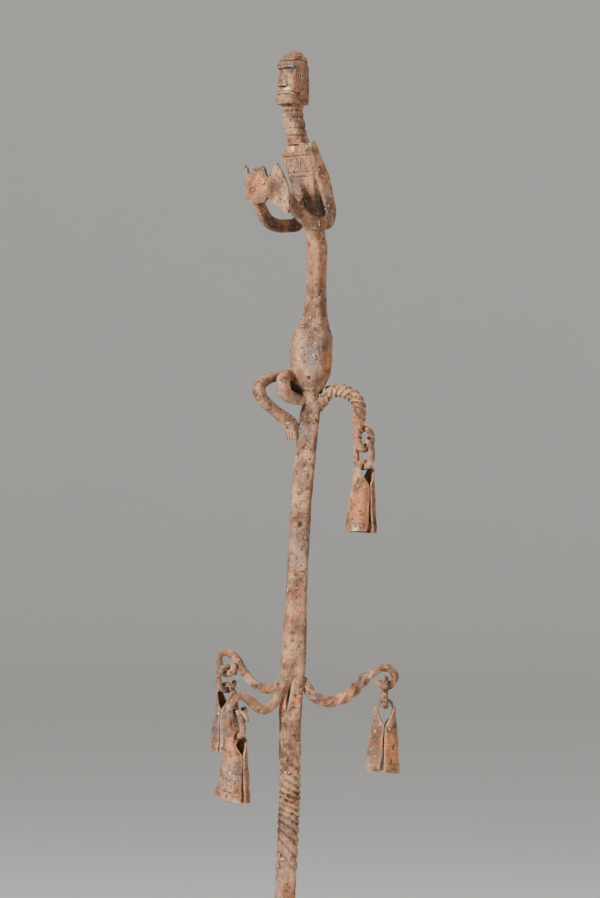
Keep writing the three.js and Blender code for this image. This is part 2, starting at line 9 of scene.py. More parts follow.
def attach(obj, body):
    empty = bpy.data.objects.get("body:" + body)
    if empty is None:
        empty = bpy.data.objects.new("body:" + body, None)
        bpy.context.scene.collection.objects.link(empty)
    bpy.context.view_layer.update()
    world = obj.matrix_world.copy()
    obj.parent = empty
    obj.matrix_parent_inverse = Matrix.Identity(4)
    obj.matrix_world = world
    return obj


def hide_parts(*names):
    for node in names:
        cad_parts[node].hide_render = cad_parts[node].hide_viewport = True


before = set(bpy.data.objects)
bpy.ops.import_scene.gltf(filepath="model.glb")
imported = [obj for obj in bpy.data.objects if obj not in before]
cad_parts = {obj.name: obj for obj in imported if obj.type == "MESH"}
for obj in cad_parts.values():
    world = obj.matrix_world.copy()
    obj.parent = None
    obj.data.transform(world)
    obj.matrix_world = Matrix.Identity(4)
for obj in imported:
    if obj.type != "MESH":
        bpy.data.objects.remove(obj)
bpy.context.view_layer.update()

bl_info = {
    "name": "Iron Ritual Staff",
    "version": (1, 0, 0),
    "blender": (4, 5, 0),
    "location": "View3D > Sidebar > Staff",
    "description": "Builds the forged iron staff with its figure, hooks, rings and bells, and their rusted finish",
    "category": "Object",
}

PI = math.pi

# Heights of the pieces along the staff, in metres, as the frame has them
SHAFT_FOOT = 0.610
HIPS_FOOT = 0.838
ABDOMEN_FOOT = 0.900
TORSO_FOOT = 0.967
NECK_FOOT = 1.030
HEAD_FOOT = 1.0595
STAFF_TOP = 1.100
TANG_TOP = 0.300
TWIST_FOOT = 0.479
TWIST_TOP = 0.580
TWIST_TURNS = -3.5

# Middle of the bar: shares of the staff's height, then of the sway to the right and to the back
BAR_SWAY = 0.021
SWAY_SHARES = [
    (0, 0, 0), (0.27, -0.1, 0), (0.423, -0.18, 0), (0.49, -0.01, 0), (0.55, 0.01, 0),
    (0.592, 0.14, 0), (0.654, 0.29, 0), (0.695, 0.4, 0), (0.735, 0.6, 0), (0.761, 0.76, 0),
    (0.797, 0.78, 0), (0.831, 0.93, 0), (0.868, 0.98, 0), (0.896, 0.68, -0.2), (0.925, 0.45, -0.34),
    (0.936, 0.33, -0.38), (0.955, 0.16, -0.4), (0.964, 0.11, -0.4), (1, 0.14, -0.42),
]

UP = np.array((0.0, 0.0, 1.0))
FIGURE_TURN = -0.75 * PI
AHEAD = np.array((math.cos(FIGURE_TURN), math.sin(FIGURE_TURN), 0.0))
NEAR_SIDE = np.array((-math.sin(FIGURE_TURN), math.cos(FIGURE_TURN), 0.0))

SHANK_TURN = 0.1 * PI
SHAFT_TURN = 0.04 * PI
HIPS_TURN = 0.1 * PI
CHEST_WIDTH = 0.030
CHEST_DEPTH = 0.0135
# Marks share one seed and joined pieces overlap a little, so that welded pieces look like one
STAFF_SEED = 1
JOIN = 0.0006
# First seeds of the hooks, the rings and the bells
HOOK_SEED = 61
RING_SEED = 71
BELL_SEED = 81
# Dark slit beside the root of the front left hook
SLIT = [
    (0.0014, -0.0088, 0.6300), (-0.0006, -0.0088, 0.6220), (-0.0022, -0.0084, 0.6130), (-0.0030, -0.0080, 0.6050),
]

# Radius of the hooks' round ends, and the room between a hook and its ring
EYE_RADIUS = 0.007
SWING_GAP = 0.0004
# Chimes, each a hook with its ring and its bell: every row has one value for each of them
CHIME_NAMES = ("upper_right", "lower_right", "front_left", "rear_left")
CHIME_ROWS = dict(
    root_height=(0.840, 0.6275, 0.634, 0.626),
    reach=(0.0396, 0.070, -0.0416, -0.0494),
    eye_rise=(-0.0302, 0.00375, -0.02575, 0.01265),
    depth=(0.0045, 0.002, -0.0236, 0.0235),
    sway=(0.030, 0.015, 0.026, 0.022),
    root_width=(0.0086, 0.0056, 0.0086, 0.0074),
    mid_width=(0.009, 0.0078, 0.0074, 0.0066),
    eye_width=(0.006, 0.0054, 0.0056, 0.005),
    turns=(-3.5, -2, 0, 0),
    eye_turn=(0.24 * PI, 0.0, 0.22 * PI, -0.23 * PI),
    eye_start=(PI, 0.62 * PI, PI, PI),
    eye_end=(2.1 * PI, -0.86 * PI, 2.1 * PI, 2.1 * PI),
    ring_width=(0.022, 0.022, 0.0226, 0.024),
    ring_height=(0.0335, 0.0252, 0.02325, 0.022),
    ring_turn=(-0.26 * PI, -0.5 * PI, -0.28 * PI, -0.73 * PI),
    rest_share=(0.2, 0.5, 0.5, 0.5),
    bell_height=(0.055, 0.0558, 0.0545, 0.0525),
    mouth_width=(0.025, 0.028, 0.0275, 0.027),
    bell_turn=(-0.3 * PI, -0.5 * PI, -0.28 * PI, -0.66 * PI),
    lean=(-0.06, -0.055, -0.08, 0.0),
    slit=(0.2, 0.1, 0.16, 0.04),
    corner=(0, 0, 0.0055, 0),
)
CHIMES = {name: {key: row[index] for key, row in CHIME_ROWS.items()} for index, name in enumerate(CHIME_NAMES)}
# Hook arms: shares of the way to the eye and of the sway, from inside the bar outwards
ARM_SHARES = {
    "upper_right": [
        (0.1, -0.24), (0.24, -0.06), (0.37, 0.14), (0.6, 0.21), (0.81, 0.14), (0.98, -0.02), (1.05, -0.27),
        (1.02, -0.6),
    ],
    "lower_right": [
        (0.02, 0.3), (0.14, 0), (0.2, -0.5), (0.26, -0.77), (0.38, -0.99), (0.51, -0.91), (0.65, -0.57),
        (0.76, -0.07), (0.87, 0.38),
    ],
    "front_left": [
        (0.02, 0.1), (0.08, -0.12), (0.16, -0.4), (0.26, -0.74), (0.38, -0.96), (0.485, -1), (0.59, -0.88),
        (0.7, -0.68), (0.81, -0.58), (0.91, -0.65), (0.985, -0.84),
    ],
    "rear_left": [
        (0.03, 0.06), (0.24, -0.13), (0.34, -0.22), (0.45, -0.15), (0.57, 0.07), (0.69, 0.45), (0.78, 0.81),
        (0.88, 0.975), (0.975, 0.95), (1.01, 0.78),
    ],
}
# First points of the front left hook, a tongue split off the front of the bar
TONGUE = [
    (0.0040, -0.0025, 0.6560), (0.0014, -0.0042, 0.6430), (-0.0016, -0.0062, 0.6320), (-0.0054, -0.0076, 0.6230),
]
# Ring wires: shares of the ring's width and height, and of the wire's width out of the ring's plane
RING_SHARES = {
    "upper_right": [
        (0.12, 0.215, 0), (0.36, 0.1, 0), (0.49, -0.12, 0), (0.38, -0.38, 0), (0, -0.5, 0), (-0.4, -0.38, 0),
        (-0.5, -0.05, 0), (-0.42, 0.3, 0), (-0.08, 0.5, 0), (0.3, 0.46, 0), (0.54, 0.28, 0),
    ],
    "lower_right": [
        (0.49, -0.1, 0), (0.36, -0.36, 0), (0, -0.5, 0), (-0.38, -0.33, 0), (-0.5, 0.05, 0), (-0.36, 0.39, 0),
        (0, 0.5, 0), (0.38, 0.38, 0), (0.49, 0.18, 0),
    ],
    "front_left": [
        (0.2, 0.56, -0.62), (0.38, 0.38, -0.6), (0.5, 0.06, -0.4), (0.4, -0.32, 0), (0, -0.5, 0),
        (-0.4, -0.32, 0), (-0.5, 0.05, 0), (-0.34, 0.4, 0), (0, 0.5, 0), (0.36, 0.36, 0.5), (0.48, 0.1, 0.6),
    ],
    "rear_left": [
        (-0.47, -0.12, 0), (-0.34, -0.38, 0), (0, -0.5, 0), (0.38, -0.33, 0), (0.5, 0.05, 0), (0.36, 0.39, 0),
        (0, 0.5, 0), (-0.38, 0.37, 0), (-0.49, 0.16, 0),
    ],
}


def length_setting(name, default, description):
    return bpy.props.FloatProperty(
        name=name, description=description, default=default, unit="LENGTH", subtype="DISTANCE")


def colour_setting(name, default, description):
    return bpy.props.FloatVectorProperty(
        name=name, description=description, default=default, size=3, min=0, max=1, subtype="COLOR")


class StaffSizes(bpy.types.PropertyGroup):
    bar_width: length_setting("Bar width", 0.0146, "Width of the square bar below the hooks")
    shaft_width: length_setting("Shaft width", 0.0156, "Width of the bar between the hooks and the figure")
    ring_wire: length_setting("Ring wire", 0.0048, "Thickness of the rings' wire")
    strip_thickness: length_setting("Bell iron", 0.0018, "Thickness of the sheet iron of the bells")
    hammer_size: length_setting("Hammer mark size", 0.009, "Distance between hammer marks")
    hammer_depth: length_setting("Hammer mark depth", 0.0006, "Depth of the hammer marks")
    pit_size: length_setting("Pit size", 0.0034, "Distance between rust pits")
    pit_depth: length_setting("Pit depth", 0.00045, "Depth of the rust pits")


class StaffColours(bpy.types.PropertyGroup):
    brown: colour_setting("Brown rust", (0.118, 0.052, 0.026), "Main colour of the rust")
    dust: colour_setting("Pale dust", (0.390, 0.218, 0.122), "Dusty colour of the raised edges")
    orange: colour_setting("Orange rust", (0.390, 0.128, 0.043), "Colour of the fresh rust patches")
    grey: colour_setting("Grey scale", (0.118, 0.094, 0.088), "Colour of the grey forge scale")
    # Dark hollows also make the painted shade in creases and the painted shade and shadow of some patches
    hollow: colour_setting("Dark hollows", (0.015, 0.006, 0.003), "Colour of the pits and creases")
    # Pale specks also make painted highlights on the figure's upper lip and at the foot of its neck
    speck: colour_setting("Pale specks", (0.760, 0.600, 0.400), "Colour of the small crusts")


# Node trees

MARK_INPUTS = [
    ("Hammer Size", "NodeSocketFloat", 0.009), ("Hammer Depth", "NodeSocketFloat", 0.0006),
    ("Pit Size", "NodeSocketFloat", 0.0026), ("Pit Depth", "NodeSocketFloat", 0.00045),
    ("Seed", "NodeSocketFloat", 0.0), ("Material", "NodeSocketMaterial", None),
]
# Noise level from which the skin stays flat, and the size of a pitted patch in pits
CREST_LEVEL = 0.7
PATCH_PITS = 5.0
# Worn edges and painted crease shade: a point's rise over its near neighbours, made large, less the usual rise of
# its wider surroundings
NEAR_STEPS = 5
WIDE_STEPS = 30
RISE_GAIN = 7000.0


def put(tree, kind, feeds=None, **settings):
    """A node with its settings, and each of its inputs linked or set."""
    node = tree.nodes.new(kind)
    for name, value in settings.items():
        setattr(node, name, value)
    for name, value in (feeds or {}).items():
        if isinstance(value, bpy.types.NodeSocket):
            tree.links.new(value, node.inputs[name])
        else:
            node.inputs[name].default_value = value
    return node


def maths(tree, operation, first, second):
    return put(tree, "ShaderNodeMath", {0: first, 1: second}, operation=operation).outputs[0]


def ramp(tree, value, low, high):
    """0 below low, 1 above high, and a smooth rise between them."""
    node = put(tree, "ShaderNodeMapRange", {"Value": value, "From Min": low, "From Max": high},
               interpolation_type="SMOOTHSTEP")
    return node.outputs["Result"]


def new_tree(name, inputs):
    tree = bpy.data.node_groups.new(name, "GeometryNodeTree")
    tree.interface.new_socket("Geometry", in_out="INPUT", socket_type="NodeSocketGeometry")
    for label, kind, default in inputs:
        socket = tree.interface.new_socket(label, in_out="INPUT", socket_type=kind)
        if default is not None:
            socket.default_value = default
    tree.interface.new_socket("Geometry", in_out="OUTPUT", socket_type="NodeSocketGeometry")
    return tree, put(tree, "NodeGroupInput").outputs


def marked(tree, group, geometry):
    """Hammer marks and rust pits in a skin, with its pits, and its worn edges and its creases for painted shade,
    kept for the finish.
    """
    place = put(tree, "GeometryNodeInputPosition").outputs[0]
    facing = put(tree, "GeometryNodeInputNormal").outputs[0]

    def cloud(size, shift, detail):
        node = put(tree, "ShaderNodeTexNoise", {
            "Vector": place, "W": maths(tree, "ADD", group["Seed"], shift),
            "Scale": maths(tree, "DIVIDE", 1.0, size), "Detail": detail,
        }, noise_dimensions="4D")
        return node.outputs[0]

    def kept(surface, name, value):
        stored = put(tree, "GeometryNodeStoreNamedAttribute",
                     {"Geometry": surface, "Name": name, "Value": value}, data_type="FLOAT", domain="POINT")
        return stored.outputs[0]

    dip = maths(tree, "MINIMUM", maths(tree, "SUBTRACT", cloud(group["Hammer Size"], 0.0, 3.0), CREST_LEVEL), 0.0)
    swell = maths(tree, "MULTIPLY", dip, maths(tree, "MULTIPLY", group["Hammer Depth"], 2.0))
    patch = ramp(tree, cloud(maths(tree, "MULTIPLY", group["Pit Size"], PATCH_PITS), 3.0, 1.0), 0.46, 0.64)
    pit = maths(tree, "MULTIPLY", ramp(tree, cloud(group["Pit Size"], 7.0, 3.0), 0.5, 0.74), patch)
    depth = maths(tree, "SUBTRACT", swell, maths(tree, "MULTIPLY", pit, group["Pit Depth"]))
    offset = put(tree, "ShaderNodeVectorMath", {0: facing, "Scale": depth}, operation="SCALE").outputs[0]
    moved = put(tree, "GeometryNodeSetPosition", {"Geometry": kept(geometry, "pit", pit), "Offset": offset})
    level = put(tree, "GeometryNodeBlurAttribute", {"Value": place, "Iterations": NEAR_STEPS},
                data_type="FLOAT_VECTOR")
    rise = put(tree, "ShaderNodeVectorMath", {0: place, 1: level.outputs[0]}, operation="SUBTRACT")
    convex = put(tree, "ShaderNodeVectorMath", {0: rise.outputs[0], 1: facing}, operation="DOT_PRODUCT")
    edge = maths(tree, "MULTIPLY", convex.outputs["Value"], RISE_GAIN)
    usual = put(tree, "GeometryNodeBlurAttribute", {"Value": edge, "Iterations": WIDE_STEPS}, data_type="FLOAT")
    # Rises mark the worn edges, dips mark the creases where the finish paints shade
    wear_and_crease_shade = maths(tree, "SUBTRACT", edge, usual.outputs[0])
    smooth = put(tree, "GeometryNodeSetShadeSmooth", {"Geometry": kept(moved.outputs[0], "wear_and_crease_shade", wear_and_crease_shade)})
    real = put(tree, "GeometryNodeRealizeInstances", {"Geometry": smooth.outputs[0]})
    done = put(tree, "GeometryNodeSetMaterial", {"Geometry": real.outputs[0], "Material": group["Material"]})
    put(tree, "NodeGroupOutput", {"Geometry": done.outputs[0]})


def skin_tree():
    """Marks the skin of a piece that is already a mesh."""
    tree, group = new_tree("Forged skin", MARK_INPUTS)
    marked(tree, group, group["Geometry"])
    return tree


def rod_tree():
    """A rod along a path: the path's own points carry its half width and its twist."""
    tree, group = new_tree("Forged rod", [
        ("Corner Roundness", "NodeSocketFloat", 0.5), ("Sides", "NodeSocketInt", 40), *MARK_INPUTS])
    square = put(tree, "GeometryNodeCurvePrimitiveQuadrilateral", {"Width": 2.0, "Height": 2.0})
    rounded = put(tree, "GeometryNodeFilletCurve", {
        "Curve": square.outputs[0], "Count": 8, "Radius": group["Corner Roundness"], "Limit Radius": True,
    }, mode="POLY")
    section = put(tree, "GeometryNodeResampleCurve", {"Curve": rounded.outputs[0], "Count": group["Sides"]})
    rod = put(tree, "GeometryNodeCurveToMesh", {
        "Curve": group["Geometry"], "Profile Curve": section.outputs[0], "Fill Caps": True})
    if "Scale" in rod.inputs:
        tree.links.new(put(tree, "GeometryNodeInputRadius").outputs[0], rod.inputs["Scale"])
    marked(tree, group, rod.outputs[0])
    return tree


def placed(name, data):
    """A new object of the scene."""
    made = bpy.data.objects.new(name, data)
    bpy.context.scene.collection.objects.link(made)
    return made


def settled(source):
    """A plain mesh of what an object's modifiers make, which takes the object's place."""
    made = source.evaluated_get(bpy.context.evaluated_depsgraph_get())
    mesh = bpy.data.meshes.new_from_object(made)
    name = source.name
    bpy.data.objects.remove(source)
    mesh.name = name
    return placed(name, mesh)


def through_tree(source, name, build, values):
    """An object settled with the node tree of that name, which is built when it's first needed."""
    tree = bpy.data.node_groups.get(name) or build()
    modifier = source.modifiers.new(name, "NODES")
    modifier.node_group = tree
    for socket in tree.interface.items_tree:
        if socket.item_type == "SOCKET" and socket.in_out == "INPUT" and socket.name in values:
            modifier[socket.identifier] = values[socket.name]
    return settled(source)


# Finish

# Clouds of rust over the brown: colour, size, place in the noise, and the levels between which it sets in
RUSTS = [("dust", 0.013, 1.0, 0.38, 0.66), ("orange", 0.019, 9.0, 0.48, 0.64), ("grey", 0.014, 17.0, 0.50, 0.64)]
# A patch's outer and inner reach, and how ragged it is, as shares of its radius
PATCH_REACH = (1.15, 0.45)
PATCH_RAGGED = 1.6
# Each finish: its shares of the rusts, how far the dusty worn edges and the painted shade in creases show, and its
# patches, which have a middle, a radius, a colour and a strength; some patches are painted shade, painted shadow and
# painted highlights
FINISHES = {
    "bar_rust": dict(orange=0.35, grey=0.3, dust=0.8, edges=1.0, patches=[
        # The hollow patch at the top of the upper shaft is a painted shadow of the near leg
        ((0.0095, -0.008, 0.829), 0.011, "hollow", 0.8), ((0.0120, -0.007, 0.813), 0.006, "grey", 0.6),
        ((-0.0060, -0.008, 0.611), 0.006, "orange", 0.8), ((0.0060, -0.008, 0.616), 0.006, "orange", 0.7),
        ((0.0000, -0.008, 0.655), 0.014, "dust", 0.5), ((0.0070, -0.008, 0.730), 0.020, "grey", 0.35),
        ((0.0050, -0.008, 0.765), 0.012, "dust", 0.45), ((0.0080, -0.008, 0.690), 0.014, "orange", 0.3),
    ]),
    "figure_rust": dict(orange=0.3, grey=0.4, dust=0.65, edges=1.0, patches=[
        # The hollow patch at the chest's lower front is painted shade in the scooped hollow below the chest
        ((0.0125, -0.012, 1.017), 0.007, "grey", 0.9), ((0.0180, -0.008, 0.985), 0.014, "hollow", 0.88),
        ((0.0158, -0.012, 0.9835), 0.0055, "brown", 0.75), ((0.0200, -0.006, 0.940), 0.020, "orange", 0.25),
        ((0.0285, -0.004, 0.869), 0.013, "orange", 0.6), ((0.0185, -0.014, 0.890), 0.007, "hollow", 0.55),
        ((0.0185, -0.013, 0.872), 0.009, "grey", 0.7), ((0.0050, -0.010, 0.891), 0.005, "dust", 0.8),
        # The first hollow patch here is painted shade on the hips' sagging lower left side, behind the near leg
        ((0.0030, -0.008, 0.8455), 0.008, "hollow", 1.0), ((0.0020, -0.018, 1.0865), 0.005, "grey", 0.8),
        # The pale specks on the head's upper lip and at the foot of the neck are painted highlights
        ((-0.0050, -0.021, 1.0655), 0.004, "orange", 0.7), ((-0.0033, -0.0205, 1.0704), 0.0034, "speck", 0.9),
        ((0.0002, -0.0230, 1.0690), 0.0026, "speck", 0.8), ((0.0010, -0.012, 1.0262), 0.0030, "speck", 0.6),
        ((0.0190, -0.013, 1.0262), 0.0034, "speck", 0.6), ((-0.0030, -0.021, 1.0660), 0.0030, "grey", 0.7),
        ((-0.0225, -0.024, 0.998), 0.010, "orange", 0.6), ((-0.0110, -0.034, 0.9965), 0.006, "hollow", 0.45),
        ((-0.0120, -0.010, 0.967), 0.014, "hollow", 0.5), ((-0.0080, -0.030, 0.843), 0.006, "orange", 0.6),
        # The last hollow patch is painted shade on the inner side of the far leg's knee
        ((-0.0125, -0.013, 0.853), 0.006, "hollow", 0.6),
    ]),
    "bell_rust": dict(orange=0.55, grey=0.3, dust=0.8, edges=0.4, patches=[
        ((0.0780, -0.010, 0.578), 0.014, "orange", 0.9), ((0.0530, -0.008, 0.757), 0.013, "orange", 0.7),
        ((-0.0450, -0.034, 0.583), 0.011, "orange", 0.6), ((-0.0560, 0.016, 0.600), 0.020, "grey", 0.5),
        ((-0.0440, -0.034, 0.560), 0.007, "grey", 0.5), ((0.0640, -0.010, 0.572), 0.010, "brown", 0.5),
        ((0.0480, -0.010, 0.7430), 0.004, "speck", 0.6), ((-0.0400, -0.038, 0.5410), 0.004, "speck", 0.5),
        ((0.0830, -0.010, 0.5620), 0.004, "speck", 0.5),
    ]),
}


def rusted_iron(name):
    """Rusted iron: brown rust with orange patches and grey scale, dark pits, dusty edges, pale specks and painted
    shade in creases.
    """
    found = bpy.data.materials.get(name)
    if found:
        return found
    finish = FINISHES[name]
    edges = finish["edges"]
    colours = bpy.context.scene.staff_colours
    material = bpy.data.materials.new(name)
    material.use_nodes = True
    tree = material.node_tree
    tree.nodes.clear()
    place = put(tree, "ShaderNodeTexCoord").outputs["Object"]

    def cloud(size, shift, detail=3.0, roughness=0.55):
        moved = put(tree, "ShaderNodeMapping", {"Vector": place, "Location": (shift, shift * 0.7, shift * 1.3)})
        return put(tree, "ShaderNodeTexNoise", {
            "Vector": moved.outputs[0], "Scale": 1.0 / size, "Detail": detail, "Roughness": roughness,
        }).outputs[0]

    def share_of(value, amount):
        return maths(tree, "MULTIPLY", value, amount)

    def over(base, value, amount, tint):
        """A colour with an amount of one of the staff's colours over it, where the value says."""
        node = put(tree, "ShaderNodeMix", {
            "Factor": share_of(value, amount), 6: base, 7: (*getattr(colours, tint), 1.0)}, data_type="RGBA")
        return node.outputs[2]

    pit = put(tree, "ShaderNodeAttribute", attribute_name="pit").outputs["Fac"]
    wear_and_crease_shade = put(tree, "ShaderNodeAttribute", attribute_name="wear_and_crease_shade").outputs["Fac"]
    grain = cloud(0.0012, 4.0, 4.0, 0.7)
    mottle = cloud(0.0050, 2.0, 5.0, 0.68)
    crust = ramp(tree, cloud(0.0026, 31.0, 2.5), 0.66, 0.73)
    colour = (*colours.brown, 1.0)
    for tint, size, shift, low, high in RUSTS:
        colour = over(colour, ramp(tree, cloud(size, shift), low, high), finish[tint], tint)
    for middle, radius, tint, strength in finish["patches"]:
        away = put(tree, "ShaderNodeVectorMath", {0: place, 1: middle}, operation="DISTANCE").outputs["Value"]
        uneven = share_of(maths(tree, "SUBTRACT", mottle, 0.5), PATCH_RAGGED * radius)
        outer, inner = (reach * radius for reach in PATCH_REACH)
        colour = over(colour, ramp(tree, maths(tree, "ADD", away, uneven), outer, inner), strength, tint)
    for value, amount, tint in (
            (ramp(tree, mottle, 0.54, 0.70), 0.50, "dust"), (ramp(tree, mottle, 0.49, 0.33), 0.80, "hollow"),
            (ramp(tree, wear_and_crease_shade, 0.12, 1.0), 0.70 * edges, "dust"),
            # Painted shade: the creases, where the skin dips below its surroundings, darkened to the hollow colour
            (ramp(tree, wear_and_crease_shade, -0.12, -0.9), 0.85 * edges, "hollow"),
            (pit, 0.55, "hollow"), (crust, 0.75, "speck"),
            (ramp(tree, grain, 0.52, 0.32), 0.68, "hollow"), (ramp(tree, grain, 0.56, 0.72), 0.35, "dust")):
        colour = over(colour, value, amount, tint)
    rough = maths(tree, "ADD", share_of(grain, 0.2), 0.68)
    height = maths(tree, "ADD", share_of(grain, 0.5), maths(tree, "ADD", mottle, share_of(crust, 0.5)))
    bump = put(tree, "ShaderNodeBump", {"Strength": 0.9, "Distance": 0.0005, "Height": height})
    shader = put(tree, "ShaderNodeBsdfPrincipled", {
        "Base Color": colour, "Roughness": rough, "Metallic": 0.1, "Specular IOR Level": 0.35,
        "Normal": bump.outputs[0]})
    put(tree, "ShaderNodeOutputMaterial", {"Surface": shader.outputs[0]})
    return material


# Shapes

# Rings that close the end of a skin, as shares of its last ring
END_SHARES = (0.93, 0.75, 0.5, 0.25)
# A least length, which keeps sums from dividing by nothing
LEAST = 1e-6
# Welded straps: the grain of their common skin, and how often it's eased
WELD_GRAIN = 0.0005
WELD_EASING = 9


def read(table, at):
    """Smooth values of a table of (place, value, value...) rows, with no overshoot."""
    rows = np.array(table, float)
    places, values = rows[:, 0], rows[:, 1:]
    steps = np.diff(places)
    rises = np.diff(values, axis=0) / steps[:, None]
    slopes = np.zeros_like(values)
    slopes[0], slopes[-1] = rises[0], rises[-1]
    before, after = rises[:-1], rises[1:]
    same = before * after > 0
    safe = np.where(same, before + after, 1.0)
    slopes[1:-1] = np.where(same, 2 * before * after / safe, 0.0)
    at = np.clip(np.asarray(at, float), places[0], places[-1])
    low = np.clip(np.searchsorted(places, at, side="right") - 1, 0, len(places) - 2)
    step = steps[low][..., None]
    part = (at - places[low])[..., None] / step
    square, cube = part ** 2, part ** 3
    return ((2 * cube - 3 * square + 1) * values[low] + (cube - 2 * square + part) * step * slopes[low]
            + (3 * square - 2 * cube) * values[low + 1] + (cube - square) * step * slopes[low + 1])


def fade(value, start, span):
    """0 at the start and 1 a span further on, with an even rise between. A negative span runs downwards."""
    return np.clip((value - start) / span, 0, 1)


def mark(distance, width):
    """1 at no distance, with a soft fall to nothing at about twice the width."""
    return np.exp(-(distance / width) ** 2)


def bar_at(heights):
    """Middle of the bar at some heights."""
    heights = np.asarray(heights, float)
    places, right, back = np.array(SWAY_SHARES).T
    share = heights / STAFF_TOP
    return np.stack([
        np.interp(share, places, right) * BAR_SWAY, np.interp(share, places, back) * BAR_SWAY, heights], axis=-1)


def lengths_along(points):
    return np.concatenate([[0], np.cumsum(np.linalg.norm(np.diff(points, axis=0), axis=1))])


def points_at(points, lengths, places):
    return np.stack([np.interp(places, lengths, values) for values in points.T], axis=-1)


def smooth_path(points, spacing):
    """A centripetal curve through some points, as evenly spaced points."""
    points = np.array(points, float)
    ends = np.vstack([2 * points[0] - points[1], points, 2 * points[-1] - points[-2]])
    parts = np.linspace(0, 1, 40, endpoint=False)[:, None]
    rows = []
    for one, two, three, four in zip(ends, ends[1:], ends[2:], ends[3:]):
        first, second, third = (
            math.sqrt(max(np.linalg.norm(b - a), 1e-9)) for a, b in ((one, two), (two, three), (three, four)))
        leave = ((two - one) / first - (three - one) / (first + second) + (three - two) / second) * second
        arrive = ((three - two) / second - (four - two) / (second + third) + (four - three) / third) * second
        bend = -3 * two + 3 * three - 2 * leave - arrive
        twist = 2 * two - 2 * three + leave + arrive
        rows.append(two + leave * parts + bend * parts ** 2 + twist * parts ** 3)
    curve = np.vstack([*rows, points[-1:]])
    lengths = lengths_along(curve)
    count = max(2, int(round(lengths[-1] / spacing)) + 1)
    return points_at(curve, lengths, np.linspace(0, lengths[-1], count))


def spaced_round(points, count):
    """A closed outline through some points, as a count of evenly spaced points."""
    outline = np.array([*points, points[0]])
    lengths = lengths_along(outline)
    return points_at(outline, lengths, np.linspace(0, lengths[-1], count, endpoint=False))


def block_outline(width, depth, round_share, count):
    """Points round a block with rounded corners."""
    radius = round_share * min(width, depth) / 2
    points = []
    for corner in range(4):
        middle = PI / 4 + corner * PI / 2
        for step in np.linspace(-1, 1, 9):
            angle = middle + step * PI / 4
            points.append((
                math.copysign(width / 2 - radius, math.cos(middle)) + radius * math.cos(angle),
                math.copysign(depth / 2 - radius, math.sin(middle)) + radius * math.sin(angle)))
    return spaced_round(points, count)


def block_outlines(sizes, round_share, count):
    """A block's outline for each pair of width and depth."""
    return np.array([block_outline(width, depth, round_share, count) for width, depth in sizes])


def square_frames(middles):
    """Directions across and through a path of the figure's limbs, kept square to its near side."""
    along = np.gradient(middles, axis=0)
    along /= np.linalg.norm(along, axis=1)[:, None]
    through = NEAR_SIDE - along * (along @ NEAR_SIDE)[:, None]
    through /= np.linalg.norm(through, axis=1)[:, None]
    return np.cross(through, along), through


def turned(outline, angle):
    """An outline turned about its middle."""
    cosine, sine = math.cos(angle), math.sin(angle)
    return np.stack([outline[:, 0] * cosine - outline[:, 1] * sine, outline[:, 0] * sine + outline[:, 1] * cosine],
                    axis=-1)


def rings_of(middles, across, through, outlines):
    """Points of a skin: one ring of points for each middle."""
    across = np.broadcast_to(across, middles.shape)
    through = np.broadcast_to(through, middles.shape)
    return middles[:, None] + across[:, None] * outlines[..., :1] + through[:, None] * outlines[..., 1:]


def column(heights, outlines, turn=0.0, facing=(1.0, 0.0, 0.0)):
    """Rings of points that follow the bar, turned about the upright."""
    facing = np.array(facing)
    across = facing * math.cos(turn) + np.cross(UP, facing) * math.sin(turn)
    return rings_of(bar_at(heights), across, np.cross(UP, across), outlines)


def bulge(rings, centre, radius, height):
    """Pushes a skin out, or in where height is negative, round one place."""
    outwards = rings - rings.mean(axis=1, keepdims=True)
    outwards /= np.maximum(np.linalg.norm(outwards, axis=-1, keepdims=True), LEAST)
    distance = np.linalg.norm(rings - np.array(centre), axis=-1, keepdims=True)
    return rings + outwards * height * mark(distance, radius)


def carved(rings, line, radius, depth):
    """Cuts a slit into a skin along a line of points, shallower towards the line's ends."""
    line = smooth_path(line, 0.0004)
    inwards = rings.mean(axis=1, keepdims=True) - rings
    inwards /= np.maximum(np.linalg.norm(inwards, axis=-1, keepdims=True), LEAST)
    cut = np.zeros(rings.shape[:2])
    for step, point in enumerate(line):
        strength = math.sin(PI * (step + 0.5) / len(line)) ** 0.7
        cut = np.maximum(cut, strength * mark(np.linalg.norm(rings - point, axis=-1), radius * strength))
    return rings + inwards * (depth * cut)[..., None]


def new_piece(name, points, faces):
    mesh = bpy.data.meshes.new(name)
    mesh.from_pydata([tuple(point) for point in points], [], faces)
    mesh.validate()
    mesh.update()
    return placed(name, mesh)


def closing(ring):
    """Smaller and smaller rings inside a ring."""
    middle = ring.mean(axis=0)
    return np.array([middle + (ring - middle) * share for share in END_SHARES])


def skin(name, rings):
    """A closed skin over rings of points, with its two ends filled in."""
    count = rings.shape[1]
    rows = np.concatenate([closing(rings[0])[::-1], rings, closing(rings[-1])])
    total = len(rows)
    sides = [(side, (side + 1) % count) for side in range(count)]
    faces = []
    for low in range(0, (total - 1) * count, count):
        high = low + count
        faces += [(low + a, low + b, high + b, high + a) for a, b in sides]
    points = np.concatenate([rows.reshape(-1, 3), [rows[0].mean(axis=0)], [rows[-1].mean(axis=0)]])
    foot, top, last = total * count, total * count + 1, (total - 1) * count
    faces += [(foot, b, a) for a, b in sides]
    faces += [(top, last + a, last + b) for a, b in sides]
    corners = points[[face[:3] for face in faces]]
    volume = np.einsum("ij,ij->", corners[:, 0], np.cross(corners[:, 1], corners[:, 2]))
    if volume < 0:
        faces = [face[::-1] for face in faces]
    return new_piece(name, points, faces)


